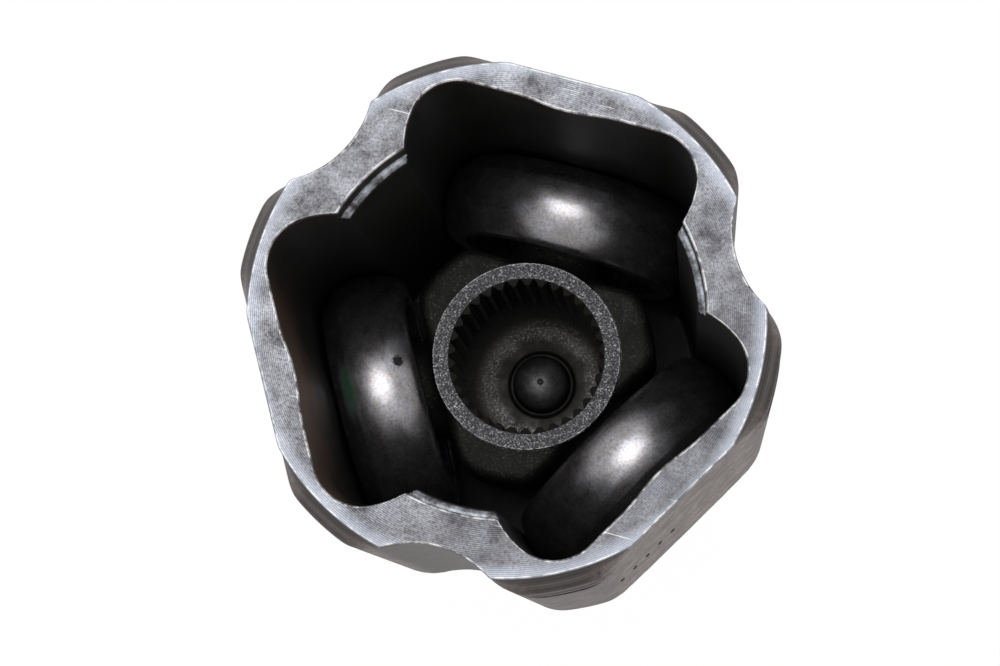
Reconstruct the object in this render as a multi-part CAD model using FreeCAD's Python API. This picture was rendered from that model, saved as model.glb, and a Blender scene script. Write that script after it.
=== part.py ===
"""Inner tripod (plunging) constant velocity joint, built piece by piece.

A three-lobed bell, the tulip, has a splined stub shaft welded to its back.  Three
straight tracks run down its inside.  A spider with a splined hub and three ball-ended
trunnions slides in it.  Each trunnion carries a roller cassette: an inner ring on the
ball, a full row of needle rollers, a crowned outer roller, and a washer and a snap ring
at each end that hold the cassette together.

Frame: +Z runs along the joint's axis and out of the mouth, z = 0 is the shoulder
where the stub's journal meets the bell, and lobe 1 is on +Y.  All sizes are in mm.
"""
import FreeCAD, Part
import math
import os

from FreeCAD import Vector

# ---------------------------------------------------------------- driving dimensions
lobe_count = 3

# Roller cassettes and the trunnions that they sit on
pitch_radius = 27.2         # joint axis to the centre of a trunnion ball
ball_radius = 11.7          # ball end of a trunnion
ball_tip = 5.6              # ball centre to the flat that ends the trunnion
tip_chamfer = 0.8           # edge of that flat
neck_radius = 9.0           # trunnion between the ball and the spider's core
neck_fillet = 3.0           # hollow round at the foot of the neck, on the core
ball_fit = 0.03             # radial clearance, ball to inner ring
inner_ring_wall = 3.0
needle_radius = 1.74
needle_fit = 0.04           # radial clearance, needle to either race
needle_end_fit = 0.05       # needle or inner ring end to washer
roller_wall = 5.61          # outer roller from its needle race to the top of its crown
roller_width = 15.4
crown_radius = 14.0         # crown of the outer roller, in section
bevel_width = 3.3           # bevelled band at the roller's outboard end
bevel_wall = 1.0            # wall that the bevel leaves outside the snap ring's groove
edge_chamfer = 0.4          # broken edge at the roller's inboard end
washer_thickness = 1.0
washer_overlap = 1.5        # how far a washer covers the end of the inner ring
washer_fit = 0.1            # radial clearance, washer to outer race
snap_ring_thickness = 1.0
snap_ring_seat = 0.8        # how deep a snap ring sits in its groove
snap_ring_reach = 1.6       # how far a snap ring stands in from the outer race
snap_ring_gap = 4.0         # opening between a snap ring's two ends
snap_ring_fit = 0.1         # radial clearance under a snap ring
stack_fit = 0.03            # axial clearance between stacked rings
roller_lip = 0.62           # outer roller beyond the snap ring's groove

# Tracks
flank_clearance = 0.45      # roller crown to track flank
flank_flare = 2.0           # flank radius in section, over the roller's crown radius
roof_clearance = 0.52       # outer face of a cassette to the middle of the track's roof
roof_rise = 0.73            # roof beside the middle bulge, over the bulge's top
roof_bulge_half = 9.0       # half width of the bulge along the roof
track_corner_radius = 8.0   # round between roof and flank
rib_radius = 31.2           # inner faces of the ribs between two tracks, from the axis
rib_edge_radius = 0.8       # rounded long edges of the ribs
rib_step = 1.55             # how far the ribs are bored out at the mouth
rib_step_depth = 4.0
ledge_round = 1.0           # rounded inner edge of the ledge that this bore leaves

# Bell
roof_wall = 4.95
rib_wall = 7.7
corner_wall = 4.88
valley_radius = 17.5        # hollow between two lobes, outside
cavity_depth = 94.0         # mouth to the floor of the tracks
floor_thickness = 14.0      # floor of the tracks to the shoulder behind the bell
floor_gap = 6.6             # bottom of a roller to the floor, spider fully home
dish_depth = 2.5            # shallow dish in the floor
dish_radius = 20.6
dish_slope = 9.0            # width of the dish's sloping rim
dome_radius = 5.44          # small dome in the middle of the dish
dome_height = 3.0           # its top over the floor
dome_crown = 1.6            # height of its rounded top
dome_groove_width = 1.4     # shallow ring turned round the dome's foot
dome_groove_depth = 0.5
drill_mark_radius = 0.9
back_corner_height = 9.0    # height of the rounded edge behind the lobes
back_face_height = 6.0      # outer end of the sloping back face, over the shoulder
back_face_radius = 36.0
back_hub_height = 2.0       # inner end of the sloping back face
back_hub_width = 5.0

# Boot seat, turned on the lobes' corners beside the mouth
mouth_bevel = 1.35          # mouth edge of the corners, outside the lobe flats
bevel_depth = 3.4
seat_drop = 0.2             # seat lands under the forged corners
land_width = 1.2
clamp_groove_width = 8.4
clamp_groove_depth = 1.2
line_groove_width = 1.2
line_groove_depth = 0.8

# Row of punched dimples on one lobe flat
dimple_count = 5
dimple_pitch = 3.2
dimple_radius = 0.55
dimple_first = 3.1          # first dimple, from the middle of the flat
dimple_depth_below_mouth = 56.0

# Spider
base_gap = 2.5              # core's flat under a trunnion to the inner face of its cassette
core_clearance = 7.7        # spider core to the ribs
core_height = 24.0
core_corner = 3.0           # rounded corners of the core, seen along the axis
core_edge = 2.4             # rounded upper and lower edges of the core
hub_height = 26.0
hub_lip = 2.86              # face of the hub, from its bevel to its outside
hub_teeth = 34
hub_root_radius = 14.3
hub_tooth_depth = 1.1
hub_root_share = 0.94       # width of a tooth at its root, as a share of the pitch
hub_tip_share = 0.30
hub_spline_turn = 4.55      # a tooth's middle from lobe 1, in degrees
hub_bevel_step = 0.08       # bevel's outer edge over the spline's root
hub_bevel_depth = 0.8

# Stub shaft
journal_radius = 17.5
journal_length = 22.0
journal_chamfer = 1.0
relief_length = 4.0         # turned neck between journal and spline
stub_teeth = 27
stub_tip_radius = 14.2
stub_tooth_depth = 1.35
stub_root_share = 0.64
stub_tip_share = 0.36
stub_spline_length = 36.0
groove_land = 3.0           # plain shaft each side of the circlip's groove
circlip_thickness = 1.6
circlip_groove_depth = 1.2
circlip_stand = 0.9         # circlip proud of the plain shaft
circlip_gap = 5.0
circlip_fit = 0.08
stub_end_chamfer = 1.5
centre_hole_radius = 3.0

# ---------------------------------------------------------------- derived dimensions
inner_ring_bore = ball_radius + ball_fit
inner_ring_radius = inner_ring_bore + inner_ring_wall
needle_pitch_radius = inner_ring_radius + needle_fit + needle_radius
race_radius = needle_pitch_radius + needle_radius + needle_fit
roller_radius = race_radius + roller_wall
groove_radius = race_radius + snap_ring_seat + snap_ring_fit
bevel_end_radius = groove_radius + bevel_wall
needle_count = int(math.pi / math.asin(needle_radius / needle_pitch_radius))
half_width = roller_width / 2
groove_outer = half_width - roller_lip
groove_inner = groove_outer - snap_ring_thickness - 2 * stack_fit
snap_ring_start = groove_inner + stack_fit
washer_start = groove_inner - washer_thickness
needle_half = washer_start - needle_end_fit

flank_radius = crown_radius + flank_flare
flank_reach = roller_radius + flank_clearance
roof_middle = pitch_radius + half_width + roof_clearance
roof = roof_middle + roof_rise
corner_x = flank_reach - flank_radius + math.sqrt(
    (flank_radius - track_corner_radius) ** 2
    - (roof - track_corner_radius - pitch_radius) ** 2)
corner_y = roof - track_corner_radius
corner_reach = math.hypot(corner_x, corner_y) + track_corner_radius

lobe_flat = roof + roof_wall
corner_radius = corner_reach + corner_wall
valley_centre = rib_radius + rib_wall + valley_radius
floor_z = floor_thickness
bell_height = floor_thickness + cavity_depth
centre_z = floor_z + floor_gap + roller_radius
mouth_edge_radius = lobe_flat + mouth_bevel
seat_radius = corner_radius - seat_drop

core_flat = pitch_radius - half_width - base_gap
core_radius = rib_radius - core_clearance
hub_tip_radius = hub_root_radius - hub_tooth_depth
hub_bevel_radius = hub_root_radius + hub_bevel_step
hub_radius = hub_bevel_radius + hub_lip

relief_radius = stub_tip_radius - stub_tooth_depth
stub_spline_top = -journal_length - relief_length
stub_spline_end = stub_spline_top - stub_spline_length
circlip_groove_width = circlip_thickness + 2 * circlip_fit
circlip_groove_top = stub_spline_end - groove_land
stub_end = circlip_groove_top - circlip_groove_width - groove_land

axis_z = Vector(0, 0, 1)
joint_centre = Vector(0, 0, centre_z)


# ---------------------------------------------------------------- small helpers
def polar(radius, degrees, z=0.0):
    """Point at a radius and an angle round the joint's axis."""
    angle = math.radians(degrees)
    return Vector(radius * math.cos(angle), radius * math.sin(angle), z)


def lobe_angle(index):
    """Direction of a lobe, in degrees, counted from lobe 1 on +Y."""
    return 90.0 + index * 360.0 / lobe_count


def turned(shape, index):
    """Copy of a shape made for lobe 1, turned round the axis to another lobe."""
    copy = shape.copy()
    copy.rotate(Vector(0, 0, 0), axis_z, index * 360.0 / lobe_count)
    return copy


def three_of(shape):
    """The same shape on every lobe."""
    return [turned(shape, index) for index in range(lobe_count)]


def revolve(points, start=Vector(0, 0, 0)):
    """Solid of revolution about Z of a closed outline given as (radius, z) pairs."""
    outline = [Vector(radius, 0, z) for radius, z in points]
    outline.append(outline[0])
    face = Part.Face(Part.makePolygon(outline))
    solid = face.revolve(Vector(0, 0, 0), axis_z, 360)
    solid.translate(start)
    return solid


def ring(inner, outer, low, high):
    """Plain ring about Z between two heights."""
    return revolve([(inner, low), (outer, low), (outer, high), (inner, high)])


def on_trunnion(shape):
    """Move a shape made about Z, centred on the origin, onto trunnion 1."""
    moved = shape.copy()
    moved.rotate(Vector(0, 0, 0), Vector(1, 0, 0), -90)
    moved.translate(Vector(0, pitch_radius, centre_z))
    return moved


def mirrored(points):
    """The same points on the other side of the lobe, in reverse order."""
    return [Vector(-point.x, point.y, point.z) for point in reversed(points)]


def arc(start, middle, end):
    """Arc through three points."""
    return Part.Arc(start, middle, end).toShape()


def spline_prism(root, tip, teeth, turn, low, high):
    """Prism with straight-flanked teeth, which point outwards or inwards.

    Root and tip are each a radius and the width of a tooth there, as a share of the
    pitch; turn is the angle of a tooth's middle from lobe 1.
    """
    root_radius, root_share = root
    tip_radius, tip_share = tip
    half_pitch = 180.0 / teeth
    root_angle = half_pitch * root_share
    tip_angle = half_pitch * tip_share
    points = []
    for tooth in range(teeth):
        middle = 90.0 + turn + tooth * 360.0 / teeth
        points.append(polar(root_radius, middle - root_angle, low))
        points.append(polar(tip_radius, middle - tip_angle, low))
        points.append(polar(tip_radius, middle + tip_angle, low))
        points.append(polar(root_radius, middle + root_angle, low))
    points.append(points[0])
    return Part.Face(Part.makePolygon(points)).extrude(Vector(0, 0, high - low))


# ---------------------------------------------------------------- tulip housing
def flank_point(y):
    """Point of the right-hand flank arc at a distance from the axis."""
    reach = math.sqrt(flank_radius ** 2 - (y - pitch_radius) ** 2)
    return Vector(flank_reach - flank_radius + reach, y, 0)


def flank_end():
    """Where the flank arc meets the inner face of the rib."""
    offset = flank_reach - flank_radius
    distance = math.hypot(offset, pitch_radius)
    along = (distance ** 2 + rib_radius ** 2 - flank_radius ** 2) / (2 * distance)
    aside = math.sqrt(rib_radius ** 2 - along ** 2)
    unit = Vector(offset, pitch_radius, 0) / distance
    return unit * along + Vector(unit.y, -unit.x, 0) * aside


def corner_point(degrees):
    """Point of the round between roof and flank, by its angle from +Y."""
    angle = math.radians(degrees)
    return Vector(corner_x + track_corner_radius * math.sin(angle),
                  corner_y + track_corner_radius * math.cos(angle), 0)


def track_edges(index):
    """Outline of one track from its left rib corner to its right one, then the rib."""
    corner_turn = math.degrees(math.atan2(corner_x - flank_reach + flank_radius,
                                          corner_y - pitch_radius))
    rib_corner = flank_end()
    flank_start = corner_point(corner_turn)
    flank_middle = flank_point((rib_corner.y + flank_start.y) / 2)
    corner_middle = corner_point(corner_turn / 2)
    corner_start = corner_point(0)
    roof_end = Vector(roof_bulge_half, roof, 0)
    right = [roof_end, corner_start, corner_middle, flank_start, flank_middle, rib_corner]
    left = mirrored(right)
    edges = [
        arc(left[0], left[1], left[2]),
        arc(left[2], left[3], left[4]),
        Part.LineSegment(left[4], left[5]).toShape(),
        arc(left[5], Vector(0, roof_middle, 0), right[0]),
        Part.LineSegment(right[0], right[1]).toShape(),
        arc(right[1], right[2], right[3]),
        arc(right[3], right[4], right[5]),
    ]
    next_corner = Vector(left[0])
    next_corner = FreeCAD.Rotation(axis_z, -360.0 / lobe_count).multVec(next_corner)
    rib_middle = polar(rib_radius, 90.0 - 180.0 / lobe_count)
    edges.append(arc(right[5], rib_middle, next_corner))
    return [turned(edge, -index) for edge in edges]


def cavity_tool():
    """Everything that is open inside the bell."""
    edges = []
    for index in range(lobe_count):
        edges += track_edges(index)
    outline = Part.Face(Part.Wire(Part.__sortEdges__(edges)))
    tracks = outline.extrude(Vector(0, 0, bell_height))
    tracks.translate(Vector(0, 0, floor_z))
    rib_edges = [edge for edge in tracks.Edges if is_rib_edge(edge)]
    tracks = tracks.makeFillet(rib_edge_radius, rib_edges)

    dish_z = floor_z - dish_depth
    dish = Part.makeCone(dish_radius - dish_slope, dish_radius, dish_depth, Vector(0, 0, dish_z))
    dome_groove = Part.makeCylinder(dome_radius + dome_groove_width, dome_groove_depth + dish_depth,
                                    Vector(0, 0, dish_z - dome_groove_depth))
    step_z = bell_height - rib_step_depth
    step_radius = rib_radius + rib_step
    step = revolve([(0, step_z - ledge_round), (rib_radius, step_z - ledge_round),
                    (rib_radius + ledge_round, step_z), (step_radius, step_z),
                    (step_radius, 2 * bell_height), (0, 2 * bell_height)])

    return tracks.fuse([dish, dome_groove, step]).cut(dome(dish_z))


def dome(foot_z):
    """Small domed boss in the middle of the floor, with a centre-drill mark."""
    top_z = floor_z + dome_height
    cap_radius = (dome_radius ** 2 + dome_crown ** 2) / (2 * dome_crown)
    cap_centre = Vector(0, 0, top_z - cap_radius)
    half_turn = math.asin(dome_radius / cap_radius) / 2
    cap_middle = cap_centre + Vector(math.sin(half_turn), 0, math.cos(half_turn)) * cap_radius
    shoulder = Vector(dome_radius, 0, top_z - dome_crown)
    cap = arc(shoulder, cap_middle, Vector(0, 0, top_z))
    sides = Part.makePolygon([Vector(0, 0, top_z), Vector(0, 0, foot_z - 1),
                              Vector(dome_radius, 0, foot_z - 1), shoulder])
    boss = Part.Face(Part.Wire([cap] + sides.Edges)).revolve(Vector(0, 0, 0), axis_z, 360)
    mark = Part.makeCone(0, 2 * drill_mark_radius, 2 * drill_mark_radius,
                         Vector(0, 0, top_z - drill_mark_radius))
    return boss.cut(mark)


def is_rib_edge(edge):
    """True for the long edges where a flank meets a rib."""
    low, high = edge.BoundBox.ZMin, edge.BoundBox.ZMax
    if high - low < bell_height / 2:
        return False
    point = edge.Vertexes[0].Point
    return abs(math.hypot(point.x, point.y) - rib_radius) < 0.01


def back_profile():
    """Revolved outline that rounds off the bell behind the lobes."""
    outside = corner_radius + 1
    start = Vector(corner_radius, 0, back_face_height + back_corner_height)
    end = Vector(back_face_radius, 0, back_face_height)
    middle = (start + end) / 2 + Vector(1, 0, -1) * back_corner_height / 5
    straight = Part.makePolygon([
        end, Vector(journal_radius + back_hub_width, 0, back_hub_height),
        Vector(journal_radius + back_hub_height, 0, 0), Vector(0, 0, 0),
        Vector(0, 0, bell_height), Vector(outside, 0, bell_height),
        Vector(outside, 0, start.z), start])
    wire = Part.Wire([arc(start, middle, end)] + straight.Edges)
    return Part.Face(wire).revolve(Vector(0, 0, 0), axis_z, 360)


def boot_seat_tool():
    """Ring of material turned off the lobes' corners beside the mouth."""
    outside = corner_radius + 5
    bevel_z = bell_height - bevel_depth
    groove_z = bevel_z - land_width
    groove_end = groove_z - clamp_groove_width
    line_z = groove_end - land_width
    line_end = line_z - line_groove_width
    line_radius = seat_radius - line_groove_depth
    groove_middle = Vector(seat_radius - clamp_groove_depth, 0, (groove_z + groove_end) / 2)
    first = Part.makePolygon([
        Vector(outside, 0, line_end), Vector(outside, 0, bell_height + 1),
        Vector(mouth_edge_radius, 0, bell_height + 1), Vector(mouth_edge_radius, 0, bell_height),
        Vector(seat_radius, 0, bevel_z), Vector(seat_radius, 0, groove_z)])
    groove = arc(Vector(seat_radius, 0, groove_z), groove_middle, Vector(seat_radius, 0, groove_end))
    last = Part.makePolygon([
        Vector(seat_radius, 0, groove_end), Vector(seat_radius, 0, line_z),
        Vector(line_radius, 0, line_z), Vector(line_radius, 0, line_end),
        Vector(outside, 0, line_end)])
    wire = Part.Wire(first.Edges + [groove] + last.Edges)
    return Part.Face(wire).revolve(Vector(0, 0, 0), axis_z, 360)


def bell_blank():
    """Outside of the bell: a round blank with lobe flats and valleys, and its back."""
    blank = Part.makeCylinder(corner_radius, bell_height)
    beyond = Part.makeBox(4 * corner_radius, corner_radius, bell_height + 2,
                          Vector(-2 * corner_radius, lobe_flat, -1))
    valley = Part.makeCylinder(valley_radius, bell_height + 2,
                               polar(valley_centre, 90.0 + 180.0 / lobe_count, -1))
    blank = blank.cut(three_of(beyond) + three_of(valley))
    return blank.common(back_profile()).cut(boot_seat_tool())


def dimples():
    """Five small punched dimples along the flat of one lobe."""
    index = lobe_count - 1
    marks = []
    for number in range(dimple_count):
        aside = dimple_first + number * dimple_pitch
        place = Vector(aside, lobe_flat, bell_height - dimple_depth_below_mouth)
        marks.append(turned(Part.makeSphere(dimple_radius, place), index))
    return marks


def stub_shaft():
    """Journal, relief, spline and circlip groove, friction-welded to the back of the bell."""
    journal = revolve([
        (0, 0), (journal_radius, 0), (journal_radius, journal_chamfer - journal_length),
        (journal_radius - journal_chamfer, -journal_length),
        (relief_radius, -journal_length), (relief_radius, stub_spline_top),
        (0, stub_spline_top)])
    teeth = spline_prism((relief_radius, stub_root_share), (stub_tip_radius, stub_tip_share),
                         stub_teeth, 0.0, stub_spline_end, stub_spline_top)
    lead_in = revolve([
        (0, stub_spline_end), (relief_radius, stub_spline_end),
        (stub_tip_radius + 1, stub_spline_end + stub_tooth_depth + 1),
        (stub_tip_radius + 1, stub_spline_top - stub_tooth_depth - 1),
        (relief_radius, stub_spline_top), (0, stub_spline_top)])
    groove_radius = relief_radius - circlip_groove_depth
    groove_end = circlip_groove_top - circlip_groove_width
    end = revolve([
        (0, stub_spline_end), (relief_radius, stub_spline_end),
        (relief_radius, circlip_groove_top), (groove_radius, circlip_groove_top),
        (groove_radius, groove_end), (relief_radius, groove_end),
        (relief_radius, stub_end + stub_end_chamfer),
        (relief_radius - stub_end_chamfer, stub_end), (0, stub_end)])
    centre = Part.makeCone(centre_hole_radius, 0, centre_hole_radius * 1.7, Vector(0, 0, stub_end))
    return journal.fuse([teeth.common(lead_in), end]).cut(centre).removeSplitter()


def tulip_housing():
    """The bell, forged outside and machined inside."""
    return bell_blank().cut(cavity_tool()).cut(dimples()).removeSplitter()


def stub_circlip():
    """Open ring that holds the stub in its gear."""
    inner = relief_radius - circlip_groove_depth + circlip_fit
    outer = relief_radius + circlip_stand
    high = circlip_groove_top - circlip_fit
    low = high - circlip_thickness
    gap = Part.makeBox(circlip_gap, 2 * outer, circlip_thickness + 2,
                       Vector(-circlip_gap / 2, 0, low - 1))
    return ring(inner, outer, low, high).cut(gap)


# ---------------------------------------------------------------- spider
def along_axis(edge):
    """True for a straight edge that runs along the joint's axis."""
    box = edge.BoundBox
    return box.ZLength > 1 and box.XLength < 0.01 and box.YLength < 0.01


def at_end(edge):
    """True for an edge round the upper or lower face of the core."""
    box = edge.BoundBox
    return box.ZLength < 0.01 and abs(abs(box.Center.z) - core_height / 2) < 0.01


def spider_core():
    """Forged core with a flat under each trunnion, rounded all over, and its turned hub."""
    base = Vector(0, 0, -core_height / 2)
    core = Part.makeCylinder(core_radius, core_height, base)
    beyond = Part.makeBox(4 * core_radius, core_radius, core_height + 2,
                          Vector(-2 * core_radius, core_flat, base.z - 1))
    core = core.cut(three_of(beyond)).removeSplitter()
    core = core.makeFillet(core_corner, [edge for edge in core.Edges if along_axis(edge)])
    core = core.makeFillet(core_edge, [edge for edge in core.Edges if at_end(edge)])
    hub = Part.makeCylinder(hub_radius, hub_height, Vector(0, 0, -hub_height / 2))
    return core.fuse(hub)


def trunnion():
    """Ball-ended trunnion of lobe 1, about Z with the ball's centre at the origin."""
    foot = core_flat - pitch_radius
    tip_radius = math.sqrt(ball_radius ** 2 - ball_tip ** 2) - tip_chamfer
    outside = 2 * ball_radius
    tip = revolve([
        (0, foot), (outside, foot), (outside, ball_tip + tip_radius - outside),
        (tip_radius, ball_tip), (0, ball_tip)])
    ball = Part.makeSphere(ball_radius).common(tip)

    buried = foot - core_flat / 2
    rounded = neck_radius + neck_fillet
    hollow = arc(Vector(rounded, 0, foot),
                 Vector(rounded, 0, foot + neck_fillet) + Vector(-1, 0, -1) * neck_fillet / math.sqrt(2),
                 Vector(neck_radius, 0, foot + neck_fillet))
    sides = Part.makePolygon([
        Vector(neck_radius, 0, foot + neck_fillet), Vector(neck_radius, 0, 0), Vector(0, 0, 0),
        Vector(0, 0, buried), Vector(rounded, 0, buried), Vector(rounded, 0, foot)])
    neck = Part.Face(Part.Wire([hollow] + sides.Edges)).revolve(Vector(0, 0, 0), axis_z, 360)
    return ball.fuse(neck)


def spider():
    """Core, hub and three trunnions, with the splined bore through the hub."""
    body = spider_core()
    body.translate(joint_centre)
    body = body.fuse(three_of(on_trunnion(trunnion())))
    half = hub_height / 2
    bore = spline_prism((hub_root_radius, hub_root_share), (hub_tip_radius, hub_tip_share),
                        hub_teeth, hub_spline_turn, -half - 1, half + 1)
    bevel = [(0, half + 1), (hub_bevel_radius, half + 1), (hub_bevel_radius, half),
             (hub_tip_radius, half - hub_bevel_depth), (0, half - hub_bevel_depth)]
    tools = [bore, revolve(bevel), revolve([(radius, -z) for radius, z in bevel])]
    for tool in tools:
        tool.translate(joint_centre)
    return body.cut(tools).removeSplitter()


# ---------------------------------------------------------------- roller cassettes
def crown_at(z):
    """Radius of the outer roller's crown at a distance from its middle."""
    return roller_radius - crown_radius + math.sqrt(crown_radius ** 2 - z ** 2)


def groove_outline(side):
    """Snap ring groove and end of the needle race, from the roller's end inwards."""
    return [Vector(race_radius, 0, side * half_width), Vector(race_radius, 0, side * groove_outer),
            Vector(groove_radius, 0, side * groove_outer),
            Vector(groove_radius, 0, side * groove_inner),
            Vector(race_radius, 0, side * groove_inner)]


def outer_roller():
    """Crowned roller, bevelled outboard, with a needle race and two snap ring grooves."""
    bevel_start = half_width - bevel_width
    edge_start = edge_chamfer - half_width
    bevel = [Vector(crown_at(bevel_start), 0, bevel_start), Vector(bevel_end_radius, 0, half_width)]
    edge = [Vector(crown_at(edge_start) - edge_chamfer, 0, -half_width),
            Vector(crown_at(edge_start), 0, edge_start)]
    inside = groove_outline(1) + groove_outline(-1)[::-1]
    sides = Part.makePolygon(bevel + inside + edge)
    crown = arc(edge[1], Vector(roller_radius, 0, 0), bevel[0])
    wire = Part.Wire(sides.Edges + [crown])
    return Part.Face(wire).revolve(Vector(0, 0, 0), axis_z, 360)


def inner_ring():
    """Ring between the trunnion's ball and the needles."""
    return ring(inner_ring_bore, inner_ring_radius, -needle_half, needle_half)


def needle_rollers():
    """Full row of needles, each a separate solid."""
    needles = []
    for number in range(needle_count):
        place = polar(needle_pitch_radius, number * 360.0 / needle_count, -needle_half)
        needles.append(Part.makeCylinder(needle_radius, 2 * needle_half, place))
    return Part.makeCompound(needles)


def washer(side):
    """Thrust washer over the ends of needles and inner ring; side is -1 or +1."""
    inner = inner_ring_radius - washer_overlap
    outer = race_radius - washer_fit
    low = washer_start if side > 0 else -washer_start - washer_thickness
    return ring(inner, outer, low, low + washer_thickness)


def snap_ring(side):
    """Open ring in the outer roller's groove; side is -1 or +1."""
    inner = race_radius - snap_ring_reach
    outer = race_radius + snap_ring_seat
    low = snap_ring_start if side > 0 else -snap_ring_start - snap_ring_thickness
    gap = Part.makeBox(snap_ring_gap, 2 * outer, snap_ring_thickness + 2,
                       Vector(-snap_ring_gap / 2, 0, low - 1))
    return ring(inner, outer, low, low + snap_ring_thickness).cut(gap)


def cassette():
    """Name and shape of each piece of a cassette, about Z and centred on the origin."""
    return {
        "outer_roller": outer_roller(),
        "inner_ring": inner_ring(),
        "needle_rollers": needle_rollers(),
        "inboard_washer": washer(-1),
        "outboard_washer": washer(1),
        "inboard_snap_ring": snap_ring(-1),
        "outboard_snap_ring": snap_ring(1),
    }


# ---------------------------------------------------------------- build and write
def build():
    """Every node of the part, by name, in the part's frame."""
    nodes = {
        "tulip_housing": tulip_housing(),
        "stub_shaft": stub_shaft(),
        "stub_circlip": stub_circlip(),
        "spider": spider(),
    }
    for name, shape in cassette().items():
        for index, placed in enumerate(three_of(on_trunnion(shape))):
            nodes[f"{name}_{index + 1}"] = placed
    return nodes


os.makedirs("parts", exist_ok=True)
for node, solid in build().items():
    solid.exportStep(f"parts/{node}.step")
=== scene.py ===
# %% [markdown]
# # A tripod joint, seen down its mouth
#
# A drive shaft ends in a joint that lets it bend and slide. This one is the sliding kind: a
# three-lobed steel bell, a splined hub with three arms, and a roller on each arm that runs in
# a track of the bell. The CAD model gives every size and every moving body. This script gives
# that model its skin: smooth surfaces in place of flat facets, and a finish for every metal.

# %% Load the frame
import bpy
import math
import numpy as np
from mathutils import Matrix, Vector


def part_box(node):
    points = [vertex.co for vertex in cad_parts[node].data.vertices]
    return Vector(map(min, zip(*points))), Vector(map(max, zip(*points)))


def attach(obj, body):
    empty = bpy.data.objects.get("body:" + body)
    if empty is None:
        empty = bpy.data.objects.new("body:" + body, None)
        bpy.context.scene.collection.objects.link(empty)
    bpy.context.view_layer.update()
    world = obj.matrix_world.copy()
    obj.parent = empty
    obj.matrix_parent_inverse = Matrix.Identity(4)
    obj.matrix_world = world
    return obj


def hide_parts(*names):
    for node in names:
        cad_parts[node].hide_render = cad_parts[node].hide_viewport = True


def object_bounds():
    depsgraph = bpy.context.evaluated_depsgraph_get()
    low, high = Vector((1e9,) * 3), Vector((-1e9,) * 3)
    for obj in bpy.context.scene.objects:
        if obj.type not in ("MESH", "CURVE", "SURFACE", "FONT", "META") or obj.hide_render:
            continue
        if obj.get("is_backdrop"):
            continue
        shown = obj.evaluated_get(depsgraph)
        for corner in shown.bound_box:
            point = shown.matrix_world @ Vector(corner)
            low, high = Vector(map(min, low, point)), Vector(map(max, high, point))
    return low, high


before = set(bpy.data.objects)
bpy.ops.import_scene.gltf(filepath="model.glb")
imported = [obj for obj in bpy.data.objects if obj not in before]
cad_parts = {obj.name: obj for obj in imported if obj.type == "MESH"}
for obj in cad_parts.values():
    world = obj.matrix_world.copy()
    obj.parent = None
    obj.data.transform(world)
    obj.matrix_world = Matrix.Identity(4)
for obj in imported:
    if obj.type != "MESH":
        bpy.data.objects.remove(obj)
cad_box = [list(corner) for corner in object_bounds()]

# %% [markdown]
# ## Units and directions
#
# Blender works in metres here, and a maker thinks in millimetres, so each size is written in
# millimetres and scaled once, when a mesh is made. The joint's axis is Z, and the three lobes
# stand at 90, 210 and 330 degrees round it.

# %% Units and directions
METRES_PER_MM = 0.001
THIRD = math.tau / 3
LOBE_TURNS = [0, THIRD, 2 * THIRD]
mouth_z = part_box("tulip_housing")[1].z / METRES_PER_MM
floor_z = 14.0       # floor of the tracks
centre_z = 44.5      # middle of the spider
ball_circle = 27.2   # joint's axis to the middle of a trunnion's ball
print("mouth at", round(mouth_z, 2), "mm, floor at", floor_z, "mm")

# %% [markdown]
# ## Camera
#
# The lens looks down into the mouth from about 40 centimetres, 9 degrees off the axis. A long
# lens keeps the lobes from bulging. The camera's place and its right, up and back directions
# make one matrix, which is simpler to check than three angles.

# %% Camera
camera = bpy.data.objects.new("camera", bpy.data.cameras.new("camera"))
camera.data.lens = 90.0
camera.data.sensor_width = 36.0
camera.data.clip_start = 0.01
right = np.array([0.9588, 0.2727, -0.0795])
up = np.array([-0.2606, 0.9559, 0.1355])
back = np.array([0.1129, -0.1092, 0.9876])
stand = np.array([0.04593, -0.04718, mouth_z * METRES_PER_MM + 0.4017])
pose = np.eye(4)
pose[:3] = np.column_stack([right, up, back, stand])
camera.matrix_world = Matrix(pose.tolist())
bpy.context.scene.collection.objects.link(camera)
bpy.context.scene.camera = camera
print("camera", np.round(stand, 4), "m")

# %% [markdown]
# ## Colours and nodes
#
# Hex colours are written for the screen, and shaders want light in linear units, so one
# function turns one into the other. One more function adds a node: its settings are plain
# names, and each input gets either a number or a link.

# %% Colour and node helpers
def linear(hex_colour):
    """RGBA in linear light: each channel below 0.04045 is divided by 12.92, and each other
    one has 0.055 added, is divided by 1.055 and raised to the power 2.4."""
    channel = np.array([int(hex_colour[i:i + 2], 16) for i in (1, 3, 5)]) / 255
    low = channel / 12.92
    high = ((channel + 0.055) / 1.055) ** 2.4
    return (*np.where(channel <= 0.04045, low, high), 1.0)


def add_node(tree, kind, inputs=None, **settings):
    """Add one node, set its settings, then fill or link its inputs."""
    made = tree.nodes.new("ShaderNode" + kind)
    for name, value in settings.items():
        setattr(made, name, value)
    for name, value in (inputs or {}).items():
        if isinstance(value, bpy.types.NodeSocket):
            tree.links.new(value, made.inputs[name])
        else:
            made.inputs[name].default_value = value
    return made


def new_finish(name):
    """Empty material, its node tree, and the object's own coordinates."""
    material = bpy.data.materials.new(name)
    material.use_nodes = True
    tree = material.node_tree
    tree.nodes.clear()
    place = add_node(tree, "TexCoord").outputs["Object"]
    return material, tree, place


def set_ramp(ramp, *stops):
    """Give a colour ramp its stops, each a position and a hex colour."""
    elements = ramp.color_ramp.elements
    for extra in stops[2:]:
        elements.new(extra[0])
    for element, (position, colour) in zip(elements, sorted(stops)):
        element.position = position
        element.color = linear(colour)


def per_mm(size):
    """Scale for a noise whose grains are about this many millimetres across."""
    return 1 / (size * METRES_PER_MM)


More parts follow.
